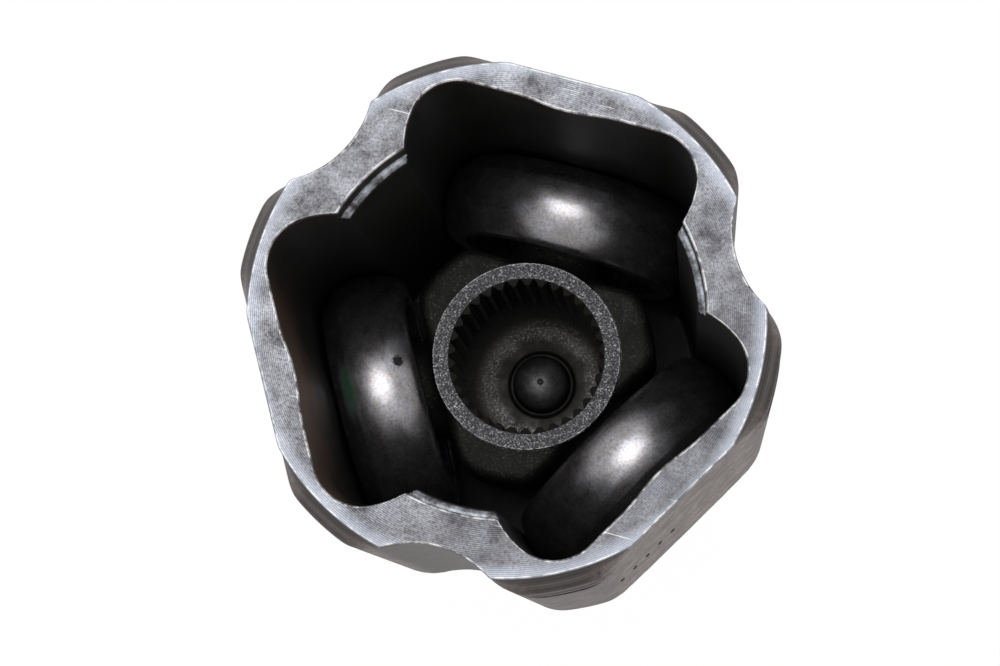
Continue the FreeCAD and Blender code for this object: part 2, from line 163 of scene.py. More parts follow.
def rings_per_mm(spacing):
    """Scale for a wave texture whose rings lie this many millimetres apart."""
    return math.tau / (20 * spacing * METRES_PER_MM)


print("mid grey #808080 is", round(float(linear("#808080")[0]), 3), "in linear light")

# %% [markdown]
# ## Light, floor and background
#
# A soft box hangs over the mouth, a little to one side, and the sky gives the rest at an even
# level, so that a colour comes out about as it is written. The floor is plain and pale. To the
# camera and to polished metal, the Light Path node adds a white glow to the floor and the sky,
# so the background is white while the lamps stay low, and the floor still takes the shadow.

# %% Light
def seen_directly(tree):
    """Socket that is 1 for a ray from the camera, a mirror or glass, and 0 for any other."""
    path = add_node(tree, "LightPath")
    seen = add_node(tree, "Math", {0: path.outputs["Is Camera Ray"],
                                   1: path.outputs["Is Glossy Ray"]}, operation="ADD")
    return add_node(tree, "Math", {0: seen.outputs[0], 1: path.outputs["Is Transmission Ray"]},
                    operation="ADD", use_clamp=True).outputs[0]


soft_box = bpy.data.objects.new("soft box", bpy.data.lights.new("soft box", "AREA"))
soft_box.data.energy = 1.5
soft_box.data.shape = "SQUARE"
soft_box.data.size = 0.30
soft_box.location = (-0.035, 0.095, 0.72)
soft_box.rotation_euler = (math.radians(-8.8), math.radians(-3.3), 0)
bpy.context.scene.collection.objects.link(soft_box)

sky = bpy.data.worlds.new("sky")
sky.use_nodes = True
bpy.context.scene.world = sky
tree = sky.node_tree
tree.nodes.clear()
level = add_node(tree, "MapRange", {"Value": seen_directly(tree), "To Min": 0.55, "To Max": 1.0})
glow = add_node(tree, "Background", {"Color": linear("#ffffff"), "Strength": level.outputs[0]})
add_node(tree, "OutputWorld", {"Surface": glow.outputs[0]})
bpy.context.scene.view_settings.view_transform = "Standard"
print("soft box", soft_box.data.energy, "W")

# %% Floor
ground_z = cad_box[0][2]
bpy.ops.mesh.primitive_plane_add(size=6.0, location=(0, 0, ground_z))
ground = bpy.context.object
ground.name = "floor"
ground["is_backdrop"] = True
pale_floor, tree, place = new_finish("pale studio floor")
share = add_node(tree, "Math", {0: seen_directly(tree), 1: 0.96}, operation="MULTIPLY")
paper = add_node(tree, "BsdfDiffuse", {"Color": linear("#e8e8e6")})
white = add_node(tree, "Emission", {"Color": linear("#ffffff"), "Strength": 1.02})
both = add_node(tree, "MixShader", {0: share.outputs[0], 1: paper.outputs[0], 2: white.outputs[0]})
add_node(tree, "OutputMaterial", {"Surface": both.outputs[0]})
ground.data.materials.append(pale_floor)
print("floor at", round(ground_z, 4), "m")

# %% [markdown]
# ## How a turned or forged surface is made here
#
# Nearly everything in this joint is round. Each surface is a grid: the columns run round the
# axis, and the rows follow the section. A section is a short list of corners, and every real
# corner is broken a little, because a sharp one shows no bright line of light along it.

# %% Section helpers
def eased(corners, cut, steps=4):
    """Section with its corners rounded. Each corner is cut back by a length along both of
    its sides, and a quadratic curve (start times (1-t) squared, corner times 2t(1-t), end
    times t squared) joins the two cuts."""
    corners = np.asarray(corners, float)
    before = np.roll(corners, 1, axis=0) - corners
    after = np.roll(corners, -1, axis=0) - corners
    before_length = np.linalg.norm(before, axis=1)
    after_length = np.linalg.norm(after, axis=1)
    reach = np.minimum(np.broadcast_to(cut, len(corners)),
                       0.45 * np.minimum(before_length, after_length))
    reach[[0, -1]] = 0
    start = corners + before * (reach / before_length)[:, None]
    end = corners + after * (reach / after_length)[:, None]
    t = np.linspace(0, 1, steps)[None, :, None]
    curve = ((1 - t) ** 2 * start[:, None] + 2 * t * (1 - t) * corners[:, None]
             + t ** 2 * end[:, None])
    kept = (reach[:, None] > 0) | (np.arange(steps)[None] == 0)
    return curve[kept]


def arc_points(centre, radius, first, last, count):
    """Points of an arc: centre plus radius times (cosine, sine) of evenly spaced degrees."""
    angle = np.radians(np.linspace(first, last, count))
    return np.asarray(centre) + radius * np.column_stack([np.cos(angle), np.sin(angle)])


def soft_min(a, b, width):
    """Smaller of two radii, with the corner between them blended over a width:
    the blend less width times h(1-h), where h runs from 0 to 1 across it."""
    h = np.clip(0.5 + 0.5 * (b - a) / width, 0, 1)
    return b + (a - b) * h - width * h * (1 - h)


def soft_max(a, b, width):
    """Larger of two radii, blended in the same way."""
    return -soft_min(-a, -b, width)


print("a square corner cut back by 1 mm makes a section of",
      len(eased([[0, 0], [3, 0], [3, 3]], 1.0)), "points")


# %% Mesh helpers
def grid_points(radius, height, angle):
    """Points of a grid round Z: x is radius times cosine, y is radius times sine."""
    radius, height, angle = np.broadcast_arrays(radius, height, angle)
    return np.stack([radius * np.cos(angle), radius * np.sin(angle), height], axis=-1)


def make_skin(name, points, finishes, zones=None, loop=False, marks=None, sharp=40):
    """Closed mesh from a grid. Face (i, j) joins (i, j), (i, j+1), (i+1, j+1) and (i+1, j),
    and the columns join up. A row that lies on the axis becomes one point with triangles."""
    rows, columns = points.shape[:2]
    number = np.arange(rows * columns).reshape(rows, columns)
    ends = () if loop else (0, rows - 1)
    poles = [row for row in ends if np.ptp(points[row], axis=0).max() < 1e-9]
    number[poles] = number[poles][:, :1]
    below = np.roll(number, -1, axis=0) if loop else number[1:]
    above = number if loop else number[:-1]
    beside_above, beside_below = np.roll(above, -1, axis=1), np.roll(below, -1, axis=1)
    faces = np.stack([above, beside_above, beside_below, below], axis=-1)
    faces = list(faces.reshape(-1, 4))
    if 0 in poles:
        faces[:columns] = np.array(faces[:columns])[:, 1:]
    if rows - 1 in poles:
        faces[-columns:] = np.array(faces[-columns:])[:, :3]
    used, packed = np.unique(np.concatenate(faces), return_inverse=True)
    sizes = np.array([len(face) for face in faces])
    starts = np.concatenate([[0], np.cumsum(sizes)[:-1]])

    mesh = bpy.data.meshes.new(name)
    mesh.vertices.add(len(used))
    mesh.vertices.foreach_set("co", (points.reshape(-1, 3)[used] * METRES_PER_MM).ravel())
    mesh.loops.add(int(sizes.sum()))
    mesh.loops.foreach_set("vertex_index", packed.astype(np.int32))
    mesh.polygons.add(len(faces))
    mesh.polygons.foreach_set("loop_start", starts.astype(np.int32))
    for finish in finishes:
        mesh.materials.append(finish)
    if zones is not None:
        mesh.polygons.foreach_set("material_index", np.asarray(zones, np.int32).ravel())
    for title, values in (marks or {}).items():
        flat = values.reshape(rows * columns, -1)[used].astype(np.float32)
        kind, field = ("FLOAT_VECTOR", "vector") if flat.shape[1] == 3 else ("FLOAT", "value")
        mesh.attributes.new(title, kind, "POINT").data.foreach_set(field, flat.ravel())
    mesh.update()
    mesh.validate()
    mesh.shade_smooth()
    mesh.set_sharp_from_angle(angle=math.radians(sharp))
    piece = bpy.data.objects.new(name, mesh)
    bpy.context.scene.collection.objects.link(piece)
    print(name, len(mesh.vertices), "points,", int((sizes - 2).sum()), "triangles")
    return piece


def onto_trunnion(points, lobe):
    """Grid made about Z, laid onto a trunnion: its Z turns to the lobe's direction, and the
    whole is then turned round the joint's axis."""
    across, outward, up = points[..., 0], points[..., 2] + ball_circle, centre_z - points[..., 1]
    cosine, sine = math.cos(LOBE_TURNS[lobe]), math.sin(LOBE_TURNS[lobe])
    return np.stack([across * cosine - outward * sine, across * sine + outward * cosine, up],
                    axis=-1)


def toothed(angle, teeth, turn, root, tip):
    """Radius of a splined outline. Across a tooth it holds the tip's radius, runs straight to
    the root's and holds that; root and tip are each a radius and a share of the pitch."""
    across = np.abs((angle - math.radians(90 + turn)) * teeth / math.tau % 1.0 - 0.5)
    from_middle = 0.5 - across
    return np.interp(from_middle, [tip[1] / 2, root[1] / 2], [tip[0], root[0]])


print("the trunnions stand at", [90 + round(math.degrees(turn)) for turn in LOBE_TURNS], "degrees")

# %% [markdown]
# ## What every finish shares
#
# A finish is a small network: textures make colours, and colours and relief meet in one shader.
# Two steps come back, so each is a function: how far a point lies from the joint's axis, and the
# end of the network, where relief, shader and output join.

# %% Steps that finishes share
def away_from_axis(tree, place):
    """Separated coordinates, and the distance from the joint's axis: the length of (x, y, 0)."""
    parts = add_node(tree, "SeparateXYZ", {"Vector": place})
    flat_place = add_node(tree, "CombineXYZ", {"X": parts.outputs["X"], "Y": parts.outputs["Y"]})
    length = add_node(tree, "VectorMath", {0: flat_place.outputs[0]}, operation="LENGTH")
    return parts, length.outputs["Value"]


def lay_on(material, tree, relief, strength, depth, surface):
    """End of a finish: a relief of this depth in millimetres, the shader and the output."""
    bump = add_node(tree, "Bump", {"Height": relief, "Strength": strength,
                                   "Distance": depth * METRES_PER_MM})
    shader = add_node(tree, "BsdfPrincipled", {**surface, "Normal": bump.outputs[0]})
    add_node(tree, "OutputMaterial", {"Surface": shader.outputs[0]})
    print(material.name, "is made of", len(tree.nodes), "nodes")


print("grains of 5 mm need a noise scale of", per_mm(5.0))

# %% [markdown]
# ## Finish: the faced rim
#
# The mouth is medium-carbon steel, faced on a lathe. The tool leaves fine rings about a third
# of a millimetre apart, and handling leaves grey stains and small bright scratches over them.
# To the eye it is a light, slightly blue, satin grey. The rings are a wave texture on the
# object's own coordinates, and two sizes of noise break them up, as stains do.

# %% Faced rim: stains and grain
faced_steel, tree, place = new_finish("faced carbon steel")
stain = add_node(tree, "TexNoise", {"Vector": place, "Scale": per_mm(5.0), "Detail": 7.0,
                                    "Roughness": 0.68})
stain_tone = add_node(tree, "ValToRGB", {"Fac": stain.outputs["Fac"]})
set_ramp(stain_tone, (0.36, "#555558"), (0.46, "#7c7c7f"), (0.56, "#909195"), (0.68, "#a5a6ac"))
grain = add_node(tree, "TexNoise", {"Vector": place, "Scale": per_mm(0.45), "Detail": 3.0,
                                    "Roughness": 0.7})
grain_tone = add_node(tree, "ValToRGB", {"Fac": grain.outputs["Fac"]})
set_ramp(grain_tone, (0.34, "#a5a5a7"), (0.50, "#e2e2e4"), (0.66, "#ffffff"))
toned = add_node(tree, "Mix", {0: 1.0, 6: stain_tone.outputs[0], 7: grain_tone.outputs[0]},
                 data_type="RGBA", blend_type="MULTIPLY")
parts, from_axis = away_from_axis(tree, place)
# Darker towards +X and -Y: painted shade across one side of the rim.
lower = add_node(tree, "Math", {0: parts.outputs["Y"], 1: -0.6, 2: parts.outputs["X"]},
                 operation="MULTIPLY_ADD")
painted_side_shade = add_node(tree, "MapRange", {"Value": lower.outputs[0], "From Min": 0.0,
                                        "From Max": 50 * METRES_PER_MM, "To Max": 0.5},
                     interpolation_type="SMOOTHSTEP")
side_shaded_tone = add_node(tree, "Mix", {0: painted_side_shade.outputs[0], 6: toned.outputs[2],
                                7: linear("#4f4e52")}, data_type="RGBA")
# The darker side is painted shade.
print("stains from #555558 to #a5a6ac, and one side handled to a darker grey")

# %% [markdown]
# ### Rings and scratches on the rim
#
# The lathe's rings only show where nothing has rubbed them away, so a coarse noise says where.
# A scratch is a fine noise stretched along one direction, of which only the highest peaks stay.

# %% Faced rim: rings and scratches
rings = add_node(tree, "TexWave", {"Vector": place, "Scale": rings_per_mm(0.33), "Distortion": 1.2,
                                   "Detail": 1.0, "Detail Scale": 0.4},
                 wave_type="RINGS", rings_direction="Z")
ring_shade = add_node(tree, "ValToRGB", {"Fac": rings.outputs["Fac"]})
set_ramp(ring_shade, (0.15, "#c9cacd"), (0.75, "#ffffff"))
where_rings = add_node(tree, "TexNoise", {"Vector": place, "Scale": per_mm(11.0), "Detail": 3.0})
ring_mask = add_node(tree, "MapRange", {"Value": where_rings.outputs["Fac"], "From Min": 0.4,
                                        "From Max": 0.6})
lined = add_node(tree, "Mix", {0: ring_mask.outputs[0], 6: side_shaded_tone.outputs[2],
                               7: ring_shade.outputs[0]},
                 data_type="RGBA", blend_type="MULTIPLY")
streak_place = add_node(tree, "Mapping", {"Vector": place, "Rotation": (0, 0, 0.35),
                                          "Scale": (0.045, 1, 1)})
streaks = add_node(tree, "TexNoise", {"Vector": streak_place.outputs[0], "Scale": per_mm(0.5),
                                      "Detail": 2.0})
streak_mask = add_node(tree, "MapRange", {"Value": streaks.outputs["Fac"], "From Min": 0.70,
                                          "From Max": 0.76, "To Max": 0.45})
scratched = add_node(tree, "Mix", {0: streak_mask.outputs[0], 6: lined.outputs[2],
                                   7: linear("#dfe0e4")}, data_type="RGBA")
print("rings 0.33 mm apart need a wave scale of", round(rings_per_mm(0.33)))

# %% [markdown]
# ### Bright edges on the rim
#
# Steel is burnished where it is rubbed: in a band along the outside, and on both lips. The lips
# come from a number kept at each vertex of the bell, and a noise breaks up their line.

# %% Faced rim: bright edges
outer_band = add_node(tree, "MapRange", {"Value": from_axis,
                                         "From Min": 39.8 * METRES_PER_MM,
                                         "From Max": 41.8 * METRES_PER_MM, "To Max": 0.4})
burnished = add_node(tree, "Mix", {0: outer_band.outputs[0], 6: scratched.outputs[2],
                                   7: linear("#b4b9c6")}, data_type="RGBA")
nicks = add_node(tree, "TexNoise", {"Vector": place, "Scale": per_mm(1.6), "Detail": 3.0})
nick_mask = add_node(tree, "MapRange", {"Value": nicks.outputs["Fac"], "From Min": 0.42,
                                        "From Max": 0.6, "To Min": 0.0, "To Max": 0.5})
worn = add_node(tree, "Attribute", attribute_name="worn_edge").outputs["Fac"]
edge_mask = add_node(tree, "Math", {0: worn, 1: nick_mask.outputs[0]}, operation="MULTIPLY")
edged = add_node(tree, "Mix", {0: edge_mask.outputs[0], 6: burnished.outputs[2],
                               7: linear("#f0f0ef")}, data_type="RGBA")
height = add_node(tree, "Math", {0: rings.outputs["Fac"], 1: grain.outputs["Fac"]},
                  operation="ADD")
lay_on(faced_steel, tree, relief=height.outputs[0], strength=0.25, depth=0.06, surface={
    "Base Color": edged.outputs[2], "Metallic": 0.85, "Roughness": 0.44})

# %% [markdown]
# ## Finish: the outside of the bell
#
# Most of the outside keeps its forged skin: a thin, hard scale, pinkish brown-grey and matt, with
# dark specks and rubbed streaks. Five small punched dimples mark one lobe flat.
#
# The corners of the lobes are turned for the boot and its clamp. That cut is smoother, and light
# and dark bands are painted round it: painted light and shade that follow the turned profile.
# A number kept at each vertex says how far the turning tool cut below the forged skin, and it
# mixes the two.

# %% Outside of the bell: forging scale
outside_skin, tree, place = new_finish("forging scale and turned steel")
speck_place = add_node(tree, "Mapping", {"Vector": place, "Scale": (1, 1, 0.6)})
cloud = add_node(tree, "TexNoise", {"Vector": speck_place.outputs[0], "Scale": per_mm(5.0),
                                    "Detail": 8.0, "Roughness": 0.65})
cloud_tone = add_node(tree, "ValToRGB", {"Fac": cloud.outputs["Fac"]})
set_ramp(cloud_tone, (0.34, "#5f5552"), (0.50, "#7c706c"), (0.66, "#9c918f"))
pores = add_node(tree, "TexNoise", {"Vector": speck_place.outputs[0], "Scale": per_mm(0.9),
                                    "Detail": 5.0, "Roughness": 0.75})
pore_tone = add_node(tree, "ValToRGB", {"Fac": pores.outputs["Fac"]})
set_ramp(pore_tone, (0.34, "#5d5350"), (0.44, "#cfc8c6"), (0.62, "#ffffff"))
skin_tone = add_node(tree, "Mix", {0: 1.0, 6: cloud_tone.outputs[0], 7: pore_tone.outputs[0]},
                     data_type="RGBA", blend_type="MULTIPLY")
print("scale with clouds of 5 mm and pores of 0.9 mm")

# %% [markdown]
# ### Five dimples
#
# The dimples are half a millimetre deep, so they need no mesh of their own: each one is a
# distance from a point on the flat, turned into a mask. The punch leaves round marks, but the
# lens looks along that flat, where they would be too thin to show. So Z is squeezed before the
# distance is measured, and the marks are as wide as the real ones and about five times taller.
# They are painted near black: painted shade in each dimple.

# %% Outside of the bell: dimples
lobe_flat = 41.1     # joint's axis to the flat of a lobe
dimple_z = mouth_z - 56
squeeze = 0.18
slant = add_node(tree, "Mapping", {"Vector": place, "Scale": (1, 1, squeeze)})
dents = None
for number in range(5):
    aside, outward = (3.1 + 3.2 * number) * METRES_PER_MM, lobe_flat * METRES_PER_MM
    spot = (aside * math.cos(LOBE_TURNS[2]) - outward * math.sin(LOBE_TURNS[2]),
            aside * math.sin(LOBE_TURNS[2]) + outward * math.cos(LOBE_TURNS[2]),
            squeeze * dimple_z * METRES_PER_MM)
    gap = add_node(tree, "VectorMath", {0: slant.outputs[0], 1: spot}, operation="DISTANCE")
    dent = add_node(tree, "MapRange", {"Value": gap.outputs["Value"],
                                       "From Min": 0.45 * METRES_PER_MM,
                                       "From Max": 0.6 * METRES_PER_MM,
                                       "To Min": 1.0, "To Max": 0.0})
    dents = dent if dents is None else add_node(
        tree, "Math", {0: dents.outputs[0], 1: dent.outputs[0]}, operation="ADD", use_clamp=True)
print("dimples 3.2 mm apart,", round(dimple_z, 2), "mm up the bell")

# %% [markdown]
# ### Painted shade in the hollows, and dirt on the corners
#
# The hollows between the lobes are darkened where a number kept at each vertex says so: painted
# shade, where less light reaches. Hands leave the corners dark. Both shares are added before the
# dark tone is mixed in.

# %% Outside of the bell: painted shade and dirt
parts, from_axis = away_from_axis(tree, place)
hollow = add_node(tree, "Attribute", attribute_name="rib_hollow").outputs["Fac"]
# Darker in the hollows between the lobes: painted shade.
hollow_shade_share = add_node(tree, "MapRange", {"Value": hollow, "To Max": 0.85})
on_corner = add_node(tree, "MapRange", {"Value": from_axis, "From Min": 43.5 * METRES_PER_MM,
                                        "From Max": 45.2 * METRES_PER_MM, "To Max": 0.45})
shade_and_dirt_share = add_node(tree, "Math", {0: hollow_shade_share.outputs[0], 1: on_corner.outputs[0]},
                      operation="ADD")
shaded_and_dirty = add_node(tree, "Mix", {0: shade_and_dirt_share.outputs[0], 6: skin_tone.outputs[2],
                               7: linear("#3a3432")}, data_type="RGBA")
# Near black over each dimple: painted shade in the recess.
dimples_painted_dark = add_node(tree, "Mix", {0: dents.outputs[0], 6: shaded_and_dirty.outputs[2], 7: linear("#020202")},
                  data_type="RGBA")
# How much of a hollow the painted shade covers.
print("dirt covers up to", round(hollow_shade_share.inputs["To Max"].default_value, 2), "of a hollow")

# %% [markdown]
# ### The turned seat of the boot
#
# The seat's light and dark bands are painted light and shade, darkest in the groove under the
# seat: one colour ramp read up the height, from that groove to the mouth, with the tool's rings
# over it. Turned steel is glossier than scale, so the same number that mixes the colours mixes
# metal and gloss.

# %% Outside of the bell: turned seat
up_seat = add_node(tree, "MapRange", {"Value": parts.outputs["Z"],
                                      "From Min": (mouth_z - 15.4) * METRES_PER_MM,
                                      "From Max": mouth_z * METRES_PER_MM})
# Light and dark bands up the seat: painted light and shade, darkest in the groove under it.
bands = add_node(tree, "ValToRGB", {"Fac": up_seat.outputs[0]})
set_ramp(bands, (0.0, "#0d0c0c"), (0.07, "#171515"), (0.10, "#5a5452"), (0.16, "#3d3837"),
         (0.30, "#2a2726"), (0.44, "#6a6563"), (0.55, "#2f2b2a"), (0.68, "#3d3836"),
         (0.76, "#6a6563"), (0.82, "#332f2e"), (0.88, "#5d5856"), (0.93, "#3f3b3b"),
         (1.0, "#55524f"))
tool_rings = add_node(tree, "TexWave", {"Vector": place, "Scale": rings_per_mm(0.5),
                                        "Distortion": 2.0, "Detail": 2.0, "Detail Scale": 0.3},
                      wave_type="BANDS", bands_direction="Z")
ring_shade = add_node(tree, "ValToRGB", {"Fac": tool_rings.outputs["Fac"]})
set_ramp(ring_shade, (0.0, "#c8c8c8"), (1.0, "#ffffff"))
seat_tone = add_node(tree, "Mix", {0: 1.0, 6: bands.outputs[0], 7: ring_shade.outputs[0]},
                     data_type="RGBA", blend_type="MULTIPLY")
turned = add_node(tree, "Attribute", attribute_name="turned_depth").outputs["Fac"]
outside_tone = add_node(tree, "Mix", {0: turned, 6: dimples_painted_dark.outputs[2], 7: seat_tone.outputs[2]},
                        data_type="RGBA")
turned_metal = add_node(tree, "MapRange", {"Value": turned, "To Min": 0.35, "To Max": 0.75})
turned_gloss = add_node(tree, "MapRange", {"Value": turned, "To Min": 0.55, "To Max": 0.36})
dent_gloss = add_node(tree, "Math", {0: dents.outputs[0], 1: 0.45, 2: turned_gloss.outputs[0]},
                      operation="MULTIPLY_ADD", use_clamp=True)
depth = add_node(tree, "Math", {0: pores.outputs["Fac"], 1: dents.outputs[0]},
                 operation="SUBTRACT")
lay_on(outside_skin, tree, relief=depth.outputs[0], strength=0.5, depth=0.15, surface={
    "Base Color": outside_tone.outputs[2], "Metallic": turned_metal.outputs[0],
    "Roughness": dent_gloss.outputs[0]})

# %% [markdown]
# ## Finish: the blackened, oily tracks
#
# Inside, induction hardening blackened the steel and old grease stained it. It is nearly black,
# a little brown where it has rusted just under the rim, and it has a thin oily gloss. A dark
# base with a clear coat gives both: the base drinks the light, and the coat catches it.

# %% Oily tracks: film and rust
oily_black, tree, place = new_finish("hardened steel under old oil")
film = add_node(tree, "TexNoise", {"Vector": place, "Scale": per_mm(7.0), "Detail": 6.0,
                                   "Roughness": 0.6})
film_tone = add_node(tree, "ValToRGB", {"Fac": film.outputs["Fac"]})
set_ramp(film_tone, (0.35, "#0e0d0c"), (0.55, "#171614"), (0.72, "#242120"))
parts = add_node(tree, "SeparateXYZ", {"Vector": place})
ragged = add_node(tree, "Math", {0: film.outputs["Fac"], 1: 30 * METRES_PER_MM,
                                 2: parts.outputs["Z"]}, operation="MULTIPLY_ADD")
rust_patch = add_node(tree, "MapRange", {"Value": ragged.outputs[0],
                                         "From Min": (mouth_z - 22) * METRES_PER_MM,
                                         "From Max": (mouth_z + 16) * METRES_PER_MM},
                      interpolation_type="SMOOTHSTEP")
left_side = add_node(tree, "MapRange", {"Value": parts.outputs["X"],
                                        "From Min": -4 * METRES_PER_MM,
                                        "From Max": -30 * METRES_PER_MM},
                     interpolation_type="SMOOTHSTEP")
low_side = add_node(tree, "MapRange", {"Value": parts.outputs["Y"],
                                       "From Min": 4 * METRES_PER_MM,
                                       "From Max": -20 * METRES_PER_MM},
                    interpolation_type="SMOOTHSTEP")
rusty_side = add_node(tree, "Math", {0: left_side.outputs[0], 1: low_side.outputs[0]},
                      operation="MULTIPLY")
rust_mask = add_node(tree, "Math", {0: rust_patch.outputs[0], 1: rusty_side.outputs[0]},
                     operation="MULTIPLY", use_clamp=True)
rusted = add_node(tree, "Mix", {0: rust_mask.outputs[0], 6: film_tone.outputs[0],
                                7: linear("#5d493d")}, data_type="RGBA")
print("rust on one side, from", round(mouth_z - 22, 2), "mm up")

# %% [markdown]
# ### The brown line under the rim, and the pits
#
# Water stood on the lip of each track, so a thin brown line follows it. Pits break up the gloss
# of the oil: they are drawn as relief only, because they hold the same black as the rest.

# %% Oily tracks: lip and pits
lip_line = add_node(tree, "MapRange", {"Value": parts.outputs["Z"],
                                       "From Min": (mouth_z - 1.6) * METRES_PER_MM,
                                       "From Max": (mouth_z - 0.7) * METRES_PER_MM,
                                       "To Max": 0.85})
lipped = add_node(tree, "Mix", {0: lip_line.outputs[0], 6: rusted.outputs[2],
                                7: linear("#4f3b31")}, data_type="RGBA")
pits = add_node(tree, "TexNoise", {"Vector": place, "Scale": per_mm(0.9), "Detail": 4.0,
                                   "Roughness": 0.7})
lay_on(oily_black, tree, relief=pits.outputs["Fac"], strength=0.5, depth=0.12, surface={
    "Base Color": lipped.outputs[2], "Metallic": 0.0, "Roughness": 0.55,
    "Specular IOR Level": 0.3, "Coat Weight": 0.04, "Coat Roughness": 0.3})

# %% [markdown]
# ## Finish: the ledge in the mouth
#
# The bore that opens the mouth leaves a ledge on each rib. It is bare machined steel, rounded by
# years of rubbing, so it shows as a pale blue-grey bar between two dark walls.

# %% Machined ledge
ledge_steel, tree, place = new_finish("machined and rubbed steel")
rub = add_node(tree, "TexNoise", {"Vector": place, "Scale": per_mm(2.2), "Detail": 5.0,
                                  "Roughness": 0.65})
rub_tone = add_node(tree, "ValToRGB", {"Fac": rub.outputs["Fac"]})
set_ramp(rub_tone, (0.36, "#2f2a28"), (0.48, "#5b5c60"), (0.64, "#8f939b"))
lay_on(ledge_steel, tree, relief=rub.outputs["Fac"], strength=0.3, depth=0.1, surface={
    "Base Color": rub_tone.outputs[0], "Metallic": 0.8, "Roughness": 0.4})

# %% [markdown]
# ## Finish: the stained floor of the bell
#
# The floor under the hub was only rough-turned. It holds a paste of grease and grit: a dark
# greenish brown with pale speckles, thicker in the ring round the small boss in the middle. Each
# ring is a stop of one colour ramp, read outwards from the axis. The dark ring over the groove
# round the boss is painted shade.

# %% Stained floor: paste in rings
stained_floor, tree, place = new_finish("rough-turned steel with grease")
paste = add_node(tree, "TexNoise", {"Vector": place, "Scale": per_mm(3.5), "Detail": 6.0,
                                    "Roughness": 0.65})
paste_tone = add_node(tree, "ValToRGB", {"Fac": paste.outputs["Fac"]})
set_ramp(paste_tone, (0.36, "#3a3836"), (0.52, "#565452"), (0.68, "#757371"))
parts, from_axis = away_from_axis(tree, place)
outward = add_node(tree, "MapRange", {"Value": from_axis, "From Max": 20 * METRES_PER_MM})
wobble = add_node(tree, "Math", {0: paste.outputs["Fac"], 1: 0.16, 2: outward.outputs[0]},
                  operation="MULTIPLY_ADD")
# The dark stops over the groove round the boss are painted shade.
rings = add_node(tree, "ValToRGB", {"Fac": wobble.outputs[0]})
set_ramp(rings, (0.12, "#f4f4fa"), (0.30, "#cdcdd3"), (0.36, "#7c7b79"), (0.43, "#5f5d5a"),
         (0.50, "#8f8d8b"), (0.58, "#bcbbba"), (0.68, "#aaa8a4"), (0.76, "#524f4b"),
         (0.95, "#2f2e2b"))
paste_and_painted_ring = add_node(tree, "Mix", {0: 1.0, 6: paste_tone.outputs[0], 7: rings.outputs[0]},
                  data_type="RGBA", blend_type="MULTIPLY")
print(len(rings.color_ramp.elements), "tones from the boss out to 20 mm")

# %% [markdown]
# ### Grit in the paste
#
# Grit is pale and sharp, and it gathers in one ring. A fine noise makes the grains, and a second
# ramp on the same distance says in which ring they lie.

# %% Stained floor: grit
grit = add_node(tree, "TexNoise", {"Vector": place, "Scale": per_mm(0.5), "Detail": 4.0,
                                   "Roughness": 0.75})
grit_mask = add_node(tree, "MapRange", {"Value": grit.outputs["Fac"], "From Min": 0.50,
                                        "From Max": 0.62})
grit_band = add_node(tree, "ValToRGB", {"Fac": wobble.outputs[0]})
set_ramp(grit_band, (0.50, "#000000"), (0.58, "#9a9a9a"), (0.66, "#7a7a7a"), (0.74, "#101010"))
grit_here = add_node(tree, "Math", {0: grit_mask.outputs[0], 1: grit_band.outputs[0]},
                     operation="MULTIPLY")
gritty = add_node(tree, "Mix", {0: grit_here.outputs[0], 6: paste_and_painted_ring.outputs[2],
                                7: linear("#c9c8c6")}, data_type="RGBA")
lay_on(stained_floor, tree, relief=grit.outputs["Fac"], strength=0.4, depth=0.15, surface={
    "Base Color": gritty.outputs[2], "Metallic": 0.75, "Roughness": 0.46})

# %% [markdown]
# ## The bell
#
# The bell is forged to a three-lobed shell, turned outside at the mouth, and its tracks are
# machined to run true. It could be lofted from curves, but one grid is simpler to trust: the
# columns run round the axis, and the rows climb the outside, cross the rim and go down inside.
# For each column, two radii say where the shell lies, one outside and one inside.

# %% Outline of the bell, seen along the axis
bell_angle = np.linspace(0, math.tau, 648, endpoint=False)
from_lobe = np.abs((bell_angle - math.pi / 2 + THIRD / 2) % THIRD - THIRD / 2)


def outer_radius(angle):
    """Lobe flat, round corner and hollow between two lobes. The flat is its distance over the
    cosine, and the hollow is the near side of a circle seen from the axis. A rolling circle
    rounds the edge between them: its middle lies one radius inside the corner and one radius
    outside the hollow, which the cosine rule turns into an angle."""
    corner_radius, edge_radius = 45.4, 10.0
    hollow_middle, hollow_radius = 56.4, 17.5
    past_everything = 60.0
    flat = lobe_flat / np.cos(angle)
    away = math.pi / 3 - angle
    inside = hollow_radius ** 2 - (hollow_middle * np.sin(away)) ** 2
    near_side = hollow_middle * np.cos(away) - np.sqrt(np.maximum(inside, 0))
    hollow = np.where(inside > 0, near_side, past_everything)
    reach = corner_radius - edge_radius
    both = hollow_radius + edge_radius
    turn = math.acos((hollow_middle ** 2 + reach ** 2 - both ** 2) / (2 * hollow_middle * reach))
    beside = edge_radius ** 2 - (reach * np.sin(away - turn)) ** 2
    edge_round = reach * np.cos(away - turn) + np.sqrt(np.maximum(beside, 0))
    touch_x = hollow_middle + hollow_radius / both * (reach * math.cos(turn) - hollow_middle)
    touch_y = hollow_radius / both * reach * math.sin(turn)
    corner = np.where(away > turn, soft_min(flat, corner_radius, 1.2), edge_round)
    return np.where(away < math.atan2(touch_y, touch_x), hollow, corner)


